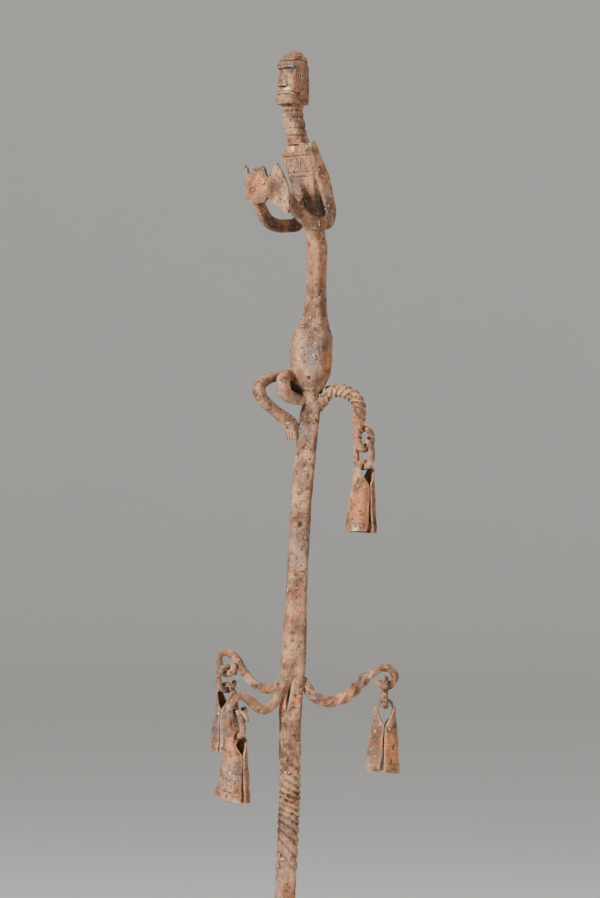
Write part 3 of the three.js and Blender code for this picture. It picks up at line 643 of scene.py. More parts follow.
def rod_path(name, middles, half_widths, turns):
    """A path whose points carry a rod's half width and twist."""
    data = bpy.data.curves.new(name, "CURVE")
    data.dimensions = "3D"
    data.twist_mode = "MINIMUM"
    spline = data.splines.new("POLY")
    spline.points.add(len(middles) - 1)
    spline.points.foreach_set("co", np.hstack([middles, np.ones((len(middles), 1))]).ravel())
    spline.points.foreach_set("radius", half_widths)
    spline.points.foreach_set("tilt", turns)
    return placed(name, data)


def welded(name, parts):
    """Several closed shapes as one skin."""
    points, faces = [], []
    for part in parts:
        start = len(points)
        points += [vertex.co.copy() for vertex in part.data.vertices]
        faces += [tuple(start + corner for corner in face.vertices) for face in part.data.polygons]
        bpy.data.objects.remove(part)
    piece = new_piece(name, points, faces)
    fuse = piece.modifiers.new("Weld", "REMESH")
    fuse.mode = "VOXEL"
    fuse.voxel_size = WELD_GRAIN
    ease = piece.modifiers.new("Ease", "SMOOTH")
    ease.factor = 0.5
    ease.iterations = WELD_EASING
    return settled(piece)


def mark_values(finish, seed, changes):
    """Values for a tree's inputs: the staff's own marks, or those that a piece changes."""
    sizes = bpy.context.scene.staff_sizes
    marks = {name: changes.get(name, getattr(sizes, name))
             for name in ("hammer_size", "hammer_depth", "pit_size", "pit_depth")}
    values = {name.replace("_", " ").title(): value for name, value in marks.items()}
    return {**values, "Seed": float(seed), "Material": rusted_iron(finish)}


def hand_over(piece, node, body):
    """The piece stands for its CAD node and moves with its body."""
    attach(piece, body)
    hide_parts(node)


def forged(piece, node, finish, seed=STAFF_SEED, body="staff", **changes):
    values = mark_values(finish, seed, changes)
    hand_over(through_tree(piece, "Forged skin", skin_tree, values), node, body)


def forged_skin(node, rings, finish, seed=STAFF_SEED, body="staff", **changes):
    forged(skin(f"{node}_forged", rings), node, finish, seed, body, **changes)


def forged_rod(node, body, path, roundness, sides, finish, seed, **changes):
    """A rod from the middles, half widths and turns of its path."""
    values = {**mark_values(finish, seed, changes), "Corner Roundness": roundness, "Sides": sides}
    hand_over(through_tree(rod_path(f"{node}_forged", *path), "Forged rod", rod_tree, values), node, body)


class STAFF_OT_bar(bpy.types.Operator):
    """Makes the ground spike, the twisted lower bar and the upper bar"""
    bl_idname = "staff.bar"
    bl_label = "Bar"

    SIDES = 88
    TIP_WIDTH = 0.008
    # Width and depth of the slit's cut
    SLIT_CUT = (0.0010, 0.0028)

    def execute(self, context):
        sizes = context.scene.staff_sizes
        self.tang(sizes.bar_width)
        self.shank(sizes.bar_width)
        self.shaft(sizes.shaft_width)
        return {"FINISHED"}

    def tang(self, width):
        heights = np.linspace(0, TANG_TOP, 420)
        shares = read([(0, 0), (0.12, 0.3), (0.4, 0.68), (0.75, 0.94), (1, 1)], heights / TANG_TOP)[:, 0]
        outlines = np.array([
            turned(block_outline(wide, wide, 0.6, self.SIDES), SHANK_TURN)
            for wide in self.TIP_WIDTH + (width - self.TIP_WIDTH) * shares])
        forged_skin("ground_tang", column(heights, outlines), "bar_rust")

    def shank(self, width):
        heights = np.linspace(TANG_TOP, SHAFT_FOOT + JOIN, 700)
        share = fade(heights, TWIST_FOOT, TWIST_TOP - TWIST_FOOT)
        inside = np.minimum(share, 1 - share)
        # The twist is tightest a little above its middle
        pace = np.clip(12 * inside, 0, 1) * (1 + 1.3 * mark(share - 0.57, 0.17))
        eased = np.cumsum(pace) / np.sum(pace)
        joined = fade(heights, TWIST_TOP, SHAFT_FOOT - TWIST_TOP)
        turns = eased * TWIST_TURNS * 2 * PI + SHANK_TURN + (SHAFT_TURN - SHANK_TURN) * joined
        shape = read([
            (0, 1, 1, 0.6), (0.55, 1, 1, 0.6), (0.64, 1.03, 1.03, 0.72), (0.84, 1.03, 1.03, 0.72),
            (0.93, 1.02, 1.02, 0.5), (1, 1.18, 1.11, 0.6)], (heights - TANG_TOP) / (SHAFT_FOOT - TANG_TOP))
        outlines = np.array([
            turned(block_outline(width * wide, width * deep, roundness, self.SIDES), turn)
            for (wide, deep, roundness), turn in zip(shape, turns)])
        # Four grooves run between the twisted bar's corners
        around = np.arctan2(outlines[..., 1], outlines[..., 0]) - turns[:, None]
        tight = np.clip(3 * inside, 0, 1)[:, None]
        groove_depth, groove_sharpness = 0.125, 3.5
        groove = (0.5 + 0.5 * np.cos(4 * around)) ** groove_sharpness
        outlines *= (1 - groove_depth * tight * groove)[..., None]
        forged_skin("lower_shank", carved(column(heights, outlines), SLIT, *self.SLIT_CUT), "bar_rust",
                    hammer_depth=0.0004)

    def shaft(self, width):
        heights = np.linspace(SHAFT_FOOT - 0.0001, HIPS_FOOT + 0.0014, 360)
        grow = read([
            (0, 0.55), (0.08, 0.8), (0.14, 1), (0.22, 0.9), (0.34, 0.1), (0.5, 0.05), (0.66, 0.02), (0.8, 0.08),
            (0.9, 0), (1, -0.9), (1.0061, -2)], (heights - SHAFT_FOOT) / (HIPS_FOOT - SHAFT_FOOT))[:, 0]
        wavy = 1 + 0.018 * np.sin(heights * 130) + 0.012 * np.sin(heights * 311 + 1)
        widths = (width + grow * 0.003) * wavy
        outlines = block_outlines(np.stack([widths, 0.94 * widths], axis=-1), 0.62, self.SIDES)
        rings = column(heights, outlines, SHAFT_TURN)
        rings = bulge(rings, (0.0078, -0.008, 0.746), 0.0020, -0.0018)
        rings = bulge(rings, (0.0000, -0.0075, 0.801), 0.004, 0.0008)
        forged_skin("upper_shaft", carved(rings, SLIT, *self.SLIT_CUT), "bar_rust")


class STAFF_OT_body(bpy.types.Operator):
    """Makes the figure's hips, belly, chest and ringed neck"""
    bl_idname = "staff.body"
    bl_label = "Figure's Body"

    HIPS_WIDTH = 0.0275
    HIPS_DEPTH = 0.0255
    BELLY_WIDTH = 0.0128
    NECK_WIDTH = 0.0144
    # Old hammer cuts over the hips, each a line of points
    CUTS = [
        [(0.004, -0.012, 0.8975), (0.009, -0.0145, 0.8962), (0.015, -0.0150, 0.8968)],
        [(0.006, -0.014, 0.886), (0.009, -0.015, 0.8805), (0.0085, -0.015, 0.8745)],
        [(0.0035, -0.014, 0.8735), (0.0075, -0.015, 0.8785), (0.0105, -0.0155, 0.8840)],
        [(0.002, -0.013, 0.868), (0.007, -0.015, 0.8665), (0.010, -0.0155, 0.8690)],
        [(0.0125, -0.0155, 0.876), (0.0155, -0.0155, 0.8640), (0.0150, -0.0150, 0.8560)],
    ]

    def execute(self, context):
        self.hips()
        self.belly()
        self.chest()
        self.neck()
        return {"FINISHED"}

    def hips(self):
        heights = np.linspace(HIPS_FOOT - 0.001, ABDOMEN_FOOT + 0.0016, 124)
        shares = read([
            (-0.016, 0.42, 0.44), (0, 0.46, 0.48), (0.1, 0.5, 0.52), (0.2, 0.7, 0.7), (0.36, 0.94, 0.94),
            (0.58, 1, 1), (0.74, 0.99, 0.95), (0.87, 0.84, 0.82), (1, 0.64, 0.66), (1.026, 0.56, 0.58)],
            (heights - HIPS_FOOT) / (ABDOMEN_FOOT - HIPS_FOOT))
        outlines = block_outlines(shares * (self.HIPS_WIDTH, self.HIPS_DEPTH), 0.5, 140)
        rings = column(heights, outlines, HIPS_TURN, NEAR_SIDE)
        # The left side sags behind the near leg
        slump = mark(heights - 0.8465, 0.0078) * 0.0078 + mark(heights - 0.872, 0.02) * 0.0008
        rings[..., 0] -= slump[:, None] * np.clip(0.5 - (rings[..., 0] - 0.016) / 0.02, 0, 1)
        # A nub with a hole in it, and a dent beside it
        rings = bulge(rings, (0.0128, -0.013, 0.8572), 0.0038, 0.0018)
        rings = bulge(rings, (0.0135, -0.014, 0.8545), 0.0016, -0.0022)
        rings = bulge(rings, (0.005, -0.011, 0.848), 0.0034, -0.002)
        for line in self.CUTS:
            rings = carved(rings, line, 0.0005, 0.0005)
        forged_skin("figure_hips", rings, "figure_rust")

    def belly(self):
        heights = np.linspace(ABDOMEN_FOOT, TORSO_FOOT + JOIN / 2, 130)
        shape = read([
            (0, 1.34, 1), (0.025, 1.32, 0.97), (0.1, 1.18, 0.8), (0.25, 1.04, 0.2), (0.4, 1, 0), (0.85, 1, 0),
            (1, 1.03, 0)], (heights - ABDOMEN_FOOT) / (TORSO_FOOT - ABDOMEN_FOOT))
        outlines = np.array([
            turned(block_outline(self.BELLY_WIDTH * wide, self.BELLY_WIDTH * wide, 0.5, 88), HIPS_TURN * turn)
            for wide, turn in shape])
        forged_skin("figure_abdomen", column(heights, outlines, 0, NEAR_SIDE), "figure_rust")

    def chest(self):
        heights = np.linspace(TORSO_FOOT, NECK_FOOT, 170)
        share = (heights - TORSO_FOOT) / (NECK_FOOT - TORSO_FOOT)
        shares = read([
            (0, 0.44, 0.92), (0.3, 0.52, 0.9), (0.42, 0.62, 0.9), (0.56, 0.76, 0.94), (0.7, 0.92, 1), (0.86, 1, 1),
            (0.95, 0.92, 0.97), (1, 0.7, 0.9)], share)
        outlines = block_outlines(shares * (CHEST_WIDTH, CHEST_DEPTH), 0.3, 200)
        bulk = read([(0, 1.3), (0.14, 1.55), (0.36, 1.4), (0.56, 1.12), (0.75, 1)], share)
        outlines[..., 0] *= np.where(outlines[..., 0] > 0, bulk, 1)
        aside = outlines[..., 0]
        rise = heights[:, None] - TORSO_FOOT + np.zeros_like(aside)
        front = fade(-outlines[..., 1], 0.0035, 0.002)
        # Cuts on the front, from the top: a collar, a row of peaks, a row of dots and a belt, over a hollow
        cut = 0.7 * mark(rise - 0.0540, 0.0008)
        peak_foot, peak_height, peak_half = 0.0447, 0.0075, 0.0028
        among_peaks = (rise > peak_foot) & (rise < peak_foot + peak_height + 0.0006)
        for middle in (-0.0095, -0.0045, 0.0005, 0.0055):
            slope = np.abs(aside - middle) * peak_height / peak_half
            cut = cut + 0.6 * mark(rise - (peak_foot + peak_height - slope), 0.0008) * among_peaks
        dots = 0.5 + 0.5 * np.cos(aside * 2 * PI / 0.0021)
        cut = cut + 0.9 * mark(rise - 0.0420, 0.0006) * dots + 0.5 * mark(rise - 0.0385, 0.0007)
        hollow = fade(rise, 0.040, -0.004) * np.clip(1 - np.abs(aside - 0.001) / 0.006, 0, 1)
        outlines[..., 1] += front * (0.0008 * cut + 0.0012 * hollow)
        rings = column(heights, outlines, 0, NEAR_SIDE)
        # The far shoulder hangs a little
        rings[..., 2] -= 0.0038 * fade(-aside, 0.004, 0.008) * fade(rise, 0.0545, 0.0085)
        forged_skin("figure_torso", rings, "figure_rust", hammer_depth=0.0003)

    def neck(self):
        share = np.linspace(0, 1, 90)
        grooves = sum(mark(share - place, 0.028) for place in (0.22, 0.40, 0.66, 0.82))
        swell = 0.0004 * np.sin(share * 2 * PI * 2.2) + 0.0020 * mark(share, 0.06)
        widths = self.NECK_WIDTH + swell - 0.0008 * np.minimum(grooves, 1)
        outlines = block_outlines(np.stack([widths, widths], axis=-1), 0.62, 120)
        heights = NECK_FOOT - JOIN + share * (HEAD_FOOT - NECK_FOOT + 2 * JOIN)
        rings = column(heights, outlines, 0, NEAR_SIDE)
        rings[..., 0] -= 0.0012 * np.sin(share * PI * 0.85)[:, None]
        forged_skin("figure_neck", rings, "figure_rust", hammer_depth=0.0005, hammer_size=0.004)


class STAFF_OT_head(bpy.types.Operator):
    """Makes the figure's head with its cap, brow, nose, lips and cheek marks"""
    bl_idname = "staff.head"
    bl_label = "Figure's Head"

    WIDTH = 0.0184
    HALF_DEPTH = 0.0117
    WEDGE = 0.003
    SIDES = 150
    # Shares of the width, of the depth behind and in front, and of the wedge of nose and chin, up the head
    SHAPE_SHARES = [
        (0, 0.98, 0.98, 1.08, 0), (0.07, 1, 1, 1.1, 0), (0.136, 1, 1, 1.13, 0.1), (0.19, 1, 1, 1, 0),
        (0.24, 1, 1, 1.06, 0.1), (0.31, 1, 1, 0.92, 0), (0.345, 1, 1, 0.92, 1), (0.46, 1, 0.99, 0.88, 0.95),
        (0.59, 0.97, 0.97, 0.76, 0.5), (0.64, 0.98, 0.97, 0.78, 0.3), (0.68, 1, 0.97, 1, 0.2),
        (0.755, 0.99, 0.95, 0.97, 0), (0.785, 0.95, 0.92, 0.87, 0), (0.83, 0.91, 0.87, 0.8, 0),
        (0.87, 0.83, 0.78, 0.68, 0), (0.91, 0.71, 0.66, 0.54, 0), (0.96, 0.5, 0.45, 0.34, 0), (1, 0.2, 0.2, 0.14, 0),
    ]

    def execute(self, context):
        share = np.linspace(0, 1, 150)
        nostrils = read([(0, 0.3), (0.345, 0.42), (0.40, 0.40), (0.62, 0.12), (1, 0.12)], share)[:, 0]
        shape = read(self.SHAPE_SHARES, share) * (self.WIDTH, self.HALF_DEPTH, self.HALF_DEPTH, self.WEDGE)
        outlines = np.array([self.outline(*row, nostril) for row, nostril in zip(shape, nostrils)])
        aside, deep = outlines[..., 0], outlines[..., 1]
        level = share[:, None] + np.zeros_like(aside)
        # Brow, cheeks, mouth, cap and ears, at levels that are shares of the head's height
        beside = fade(np.abs(aside), 0.0025, 0.002) * (deep > 0.002)
        socket = mark(level - 0.605, 0.05) * mark(np.abs(aside) - 0.0055, 0.003) * (deep > 0)
        cheek = fade(level, 0.36, 0.03) * fade(level, 0.56, -0.03) * fade(np.abs(aside), 0.006, 0.002)
        stroke = (deep + 0.1 * aside + 0.0005 * np.sin(level * 60)) * 2 * PI / 0.0023
        strokes = cheek * (0.5 + 0.5 * np.cos(stroke)) * fade(deep, -0.007, 0.004)
        mouth = mark(level - 0.185 - 0.05 * np.clip(deep / 0.012, 0, 1) ** 2, 0.014) * (deep > 0.001)
        dome = 1 - (deep / 0.012) ** 2
        cap = mark(level - 0.79 - 0.05 * dome - 0.02 * aside / 0.009, 0.014)
        cap = cap + 0.8 * mark(level - 0.87 - 0.04 * dome + 0.02 * aside / 0.009, 0.013)
        ear = mark(level - 0.1, 0.035) * mark(deep - 0.001, 0.0022) * (np.abs(aside) > 0.006)
        inward = 0.0009 * mouth + 0.0006 * cap * (level < 0.94)
        length = np.maximum(np.hypot(aside, deep), LEAST)
        outlines[..., 0] -= aside / length * (inward + 0.0003 * strokes - 0.0009 * ear)
        outlines[..., 1] -= deep / length * inward + 0.0010 * socket + 0.0002 * beside
        rings = column(HEAD_FOOT + share * (STAFF_TOP - HEAD_FOOT), outlines, 0, -NEAR_SIDE)
        # Brow and cap run down towards the back
        rings[..., 2] -= 0.0042 * fade(deep, 0.007, -0.019) ** 1.4 * mark(level - 0.72, 0.12)
        forged_skin("figure_head", rings, "figure_rust", hammer_depth=0.0004, hammer_size=0.005)
        return {"FINISHED"}

    def outline(self, width, back, front, wedge, nostril):
        """A level section of the head, with its nose or chin as a wedge in front."""
        half = [
            (0.62, -back * 0.97), (0.92, -back * 0.72), (1, -back * 0.3), (1, front * 0.3),
            (0.94, front * 0.82), (0.6, front), (max(0.34, nostril + 0.08), front), (nostril, front + wedge),
        ]
        right = [(share * width / 2, deep) for share, deep in half]
        left = [(-aside, deep) for aside, deep in reversed(right)]
        fine = spaced_round([(width * 0.1, -back), *right, *left, (-width * 0.1, -back)], self.SIDES)
        for _ in range(5):
            fine = (fine + np.roll(fine, 1, axis=0) + np.roll(fine, -1, axis=0)) / 3
        return fine


def figure_point(start, forward, rise, aside):
    return start + AHEAD * forward + NEAR_SIDE * aside + UP * rise


def strap(name, points, sections, round_share):
    """A flat strap along a path: sections give its width and thickness at shares of its length."""
    middles = smooth_path(points, 0.0008)
    across, through = square_frames(middles)
    outlines = block_outlines(read(sections, np.linspace(0, 1, len(middles))), round_share, 48)
    return skin(name, rings_of(middles, across, through, outlines))


def plate(name, middle, sideways, outline, thickness):
    """A flat plate that stands upright, with its outline in the plane of sideways and up."""
    normal = np.cross(sideways, UP)
    edge = np.array([middle + sideways * wide + UP * rise for wide, rise in outline])
    points = np.concatenate([edge - normal * thickness / 2, edge + normal * thickness / 2])
    count = len(outline)
    faces = [tuple(range(count))[::-1], tuple(range(count, 2 * count))]
    faces += [(step, (step + 1) % count, count + (step + 1) % count, count + step) for step in range(count)]
    area = sum(a[0] * b[1] - b[0] * a[1] for a, b in zip(outline, [*outline[1:], outline[0]]))
    if area < 0:
        faces = [face[::-1] for face in faces]
    return new_piece(name, points, faces)


class STAFF_OT_arms(bpy.types.Operator):
    """Makes the two raised arms, each a strap hammered out to a hand"""
    bl_idname = "staff.arms"
    bl_label = "Figure's Arms"

    # Hands' outlines: shares of the hand's width and height, from the middle of the wrist
    NEAR_HAND_SHARES = [
        (-0.06, 0.0), (0.2, -0.08), (0.5, -0.22), (0.8, -0.36), (0.96, -0.42), (1.01, -0.3), (1.02, 0.0),
        (1.0, 0.22), (0.9, 0.44), (0.76, 0.64), (0.62, 0.82), (0.52, 0.92), (0.44, 1.02), (0.36, 1.1),
        (0.2, 1.09), (0.17, 0.84), (0.1, 0.74), (0.03, 0.72), (-0.06, 0.8),
    ]
    FAR_HAND_SHARES = [
        (0.0, 0.12), (0.2, -0.04), (0.5, -0.06), (0.8, -0.06), (0.9, 0.1), (0.96, 0.34), (0.985, 0.72),
        (1, 1.12), (0.965, 1.1), (0.945, 0.9), (0.9, 1.06), (0.87, 0.9), (0.78, 0.82), (0.68, 0.84),
        (0.64, 1.0), (0.56, 1.05), (0.24, 1.04), (0.17, 0.96), (0.1, 0.76), (0, 0.64),
    ]
    # Forearms: shares of the reach and of the drop, from the elbow to the wrist
    NEAR_FORE_SHARES = [(-0.2, -1.01), (0.16, -0.97), (0.46, -0.87), (0.68, -0.75), (0.85, -0.66)]
    FAR_FORE_SHARES = [(-0.2, -1.02), (0.16, -1.02), (0.42, -0.97), (0.61, -0.85), (0.72, -0.7), (0.83, -0.54)]

    def execute(self, context):
        self.arm("near_arm", 1, self.NEAR_HAND_SHARES, self.NEAR_FORE_SHARES, 0.05, 0.0024, 0.0, 1.35)
        self.arm("far_arm", -1, self.FAR_HAND_SHARES, self.FAR_FORE_SHARES, -0.045, 0.008, 0.006, 1.0)
        return {"FINISHED"}

    def arm(self, name, side, hand_shares, fore, top, overhang, shoulder_back, breadth):
        reach, drop, ahead = 0.033, 0.057, 0.0035
        width, thickness = 0.009, 0.0046
        hand_gap, hand_height, hand_thickness = 0.0012, 0.0255, 0.0036
        chest_weld = 0.0012
        back = -shoulder_back / reach
        path = [
            (back, top), (back - 0.1, -0.13), (back / 2 - 0.38, -0.45), (-0.52, -0.68), (-0.6, -0.84),
            (-0.52, -0.98), *fore,
        ]
        shoulder = bar_at(NECK_FOOT - 0.002)
        aside = (CHEST_WIDTH + thickness) / 2 - chest_weld
        points = [figure_point(shoulder, ahead + forward * reach, rise * drop, side * aside)
                  for forward, rise in path]
        bare = strap(f"{name}_strap", points, [
            (0, 0.6 * width, 0.6 * thickness), (0.035, 0.95 * width, thickness),
            (0.25, breadth * width, thickness), (0.42, 1.2 * width, thickness),
            (0.6, 1.15 * width, thickness), (0.82, 1.2 * width, 1.1 * thickness),
            (0.93, 1.15 * width, 0.8 * thickness), (1, 0.9 * width, 0.5 * thickness)], 0.6)
        wrist = figure_point(shoulder, ahead + 0.84 * reach, -0.735 * drop, side * hand_gap / 2)
        hand_width = aside + thickness / 2 - hand_gap / 2 + overhang
        outline = [(wide * hand_width, rise * hand_height) for wide, rise in hand_shares]
        hand = plate(f"{name}_hand", wrist, NEAR_SIDE * side, outline, hand_thickness)
        forged(welded(f"{name}_forged", [bare, hand]), name, "figure_rust", hammer_depth=0.0004, hammer_size=0.006)


class STAFF_OT_legs(bpy.types.Operator):
    """Makes the two bent legs, the far one with its toes"""
    bl_idname = "staff.legs"
    bl_label = "Figure's Legs"

    REACH = 0.045
    # Legs: shares of the reach, of the leg's drop and of the way aside from hip to knee
    NEAR_SHARES = [
        (0.12, -0.06, 0), (0.34, 0.03, 0.1), (0.50, -0.02, 0.5), (0.62, -0.34, 1), (0.56, -0.74, 1),
        (0.36, -0.95, 1), (0.12, -1.02, 0.8),
    ]
    FAR_SHARES = [
        (0.1, -0.04, 0), (0.5, -0.02, 0.8), (0.76, -0.08, 1), (0.95, -0.27, 1), (0.88, -0.48, 1),
        (0.68, -0.70, 0.9), (0.46, -0.88, 0.6), (0.31, -1.03, 0.2), (0.26, -1.18, 0), (0.25, -1.40, 0),
    ]

    def execute(self, context):
        self.leg("near_leg", self.NEAR_SHARES, 0.018, -0.0090, -0.0022, [
            (0, 0.0080, 0.0080), (0.25, 0.0088, 0.0088), (0.6, 0.0096, 0.0094), (1, 0.0080, 0.0084)])
        self.leg("far_leg", self.FAR_SHARES, 0.034, -0.0086, -0.013, [
            (0, 0.0074, 0.0084), (0.45, 0.0084, 0.0092), (0.74, 0.0080, 0.0088), (0.86, 0.0094, 0.0104),
            (0.96, 0.0090, 0.0116), (1, 0.0062, 0.0112)])
        return {"FINISHED"}

    def leg(self, name, path, drop, hip_aside, knee_aside, sections):
        joint = bar_at(HIPS_FOOT + 0.019)
        middles = smooth_path([
            figure_point(joint, forward * self.REACH, rise * drop, hip_aside + spread * (knee_aside - hip_aside))
            for forward, rise, spread in path], 0.0004)
        across, through = square_frames(middles)
        share = np.linspace(0, 1, len(middles))
        outlines = block_outlines(read(sections, share), 0.62, 96)
        if name == "far_leg":
            toes = fade(share, 0.93, 0.04)[:, None] * np.cos(outlines[..., 1] * 2 * PI / 0.0030)
            outlines[..., 0] *= 1 - 0.22 * np.clip(toes, 0, 1)
            outlines[..., 1] *= 1 - 0.1 * fade(share, 0.985, 0.015)[:, None]
        forged_skin(name, rings_of(middles, across, through, outlines), "figure_rust")


def level_way(turn):
    return np.array((math.cos(turn), math.sin(turn), 0.0))


def eye_middle(chime):
    root = bar_at(chime["root_height"])
    return np.array((root[0] + chime["reach"], chime["depth"], root[2] + chime["eye_rise"]))


def eye_point(chime, angle):
    """A point on the round end of a hook."""
    return (eye_middle(chime) + level_way(chime["eye_turn"]) * EYE_RADIUS * math.cos(angle)
            + UP * EYE_RADIUS * math.sin(angle))


class STAFF_OT_hooks(bpy.types.Operator):
    """Makes the four hooks, two of them twisted like a rope"""
    bl_idname = "staff.hooks"
    bl_label = "Hooks"

    TWISTED_ROUND = 0.42
    PLAIN_ROUND = 0.8
    TONGUE_WIDTH = 0.0125

    def execute(self, context):
        for seed, (name, chime) in enumerate(CHIMES.items(), HOOK_SEED):
            root = bar_at(chime["root_height"])
            start = eye_point(chime, chime["eye_start"])
            points = [
                (root[0] + (start[0] - root[0]) * reach,
                 root[1] + (start[1] - root[1]) * min(1, 1.15 * reach),
                 root[2] + sway * chime["sway"])
                for reach, sway in ARM_SHARES[name]]
            points += [eye_point(chime, angle) for angle in np.linspace(chime["eye_start"], chime["eye_end"], 10)]
            root_width, middle_width, eye_width = chime["root_width"], chime["mid_width"], chime["eye_width"]
            if name == "front_left":
                points = TONGUE + points[3:]
                root_width = self.TONGUE_WIDTH
            middles = smooth_path(points, 0.0005)
            share = np.linspace(0, 1, len(middles))
            widths = read([
                (0, root_width), (0.12, 0.5 * (root_width + middle_width)), (0.35, middle_width),
                (0.55, middle_width), (0.7, eye_width), (0.97, eye_width), (1, 0.7 * eye_width)], share)[:, 0]
            turns = chime["turns"] * 2 * PI * share / 0.7
            forged_rod(f"{name}_hook", "staff", (middles, widths / 2, turns),
                       self.TWISTED_ROUND if chime["turns"] else self.PLAIN_ROUND, 56, "bar_rust", seed,
                       hammer_depth=0.0004)
        return {"FINISHED"}


def ring_middle(chime):
    wire = bpy.context.scene.staff_sizes.ring_wire
    rest = (chime["eye_width"] + wire) / 2 + SWING_GAP - EYE_RADIUS
    return eye_middle(chime) + UP * (rest - chime["rest_share"] * (chime["ring_height"] - wire))


class STAFF_OT_rings(bpy.types.Operator):
    """Makes the four wire rings, their ends overlapped or butted"""
    bl_idname = "staff.rings"
    bl_label = "Rings"

    ROUND = 0.95
    # How thin the wire gets at its tip, as a share
    TIP = 0.72
    SHARP_TIP = 0.4

    def execute(self, context):
        wire = context.scene.staff_sizes.ring_wire
        for seed, (name, chime) in enumerate(CHIMES.items(), RING_SEED):
            middle = ring_middle(chime)
            sideways = level_way(chime["ring_turn"])
            normal = np.cross(UP, sideways)
            middles = smooth_path([
                middle + sideways * wide * (chime["ring_width"] - wire) + UP * rise * (chime["ring_height"] - wire)
                + normal * out * wire for wide, rise, out in RING_SHARES[name]], 0.0005)
            tip = self.SHARP_TIP if name == "front_left" else self.TIP
            half = wire / 2 * read([
                (0, tip), (0.07, 0.5 + tip / 2), (0.14, 1), (0.9, 1), (0.97, 0.95), (1, self.TIP)],
                np.linspace(0, 1, len(middles)))[:, 0]
            forged_rod(f"{name}_ring", f"{name}_ring", (middles, half, np.zeros(len(middles))), self.ROUND, 28,
                       "bell_rust", seed, hammer_depth=0.00015, pit_depth=0.0002, hammer_size=0.005)
        return {"FINISHED"}


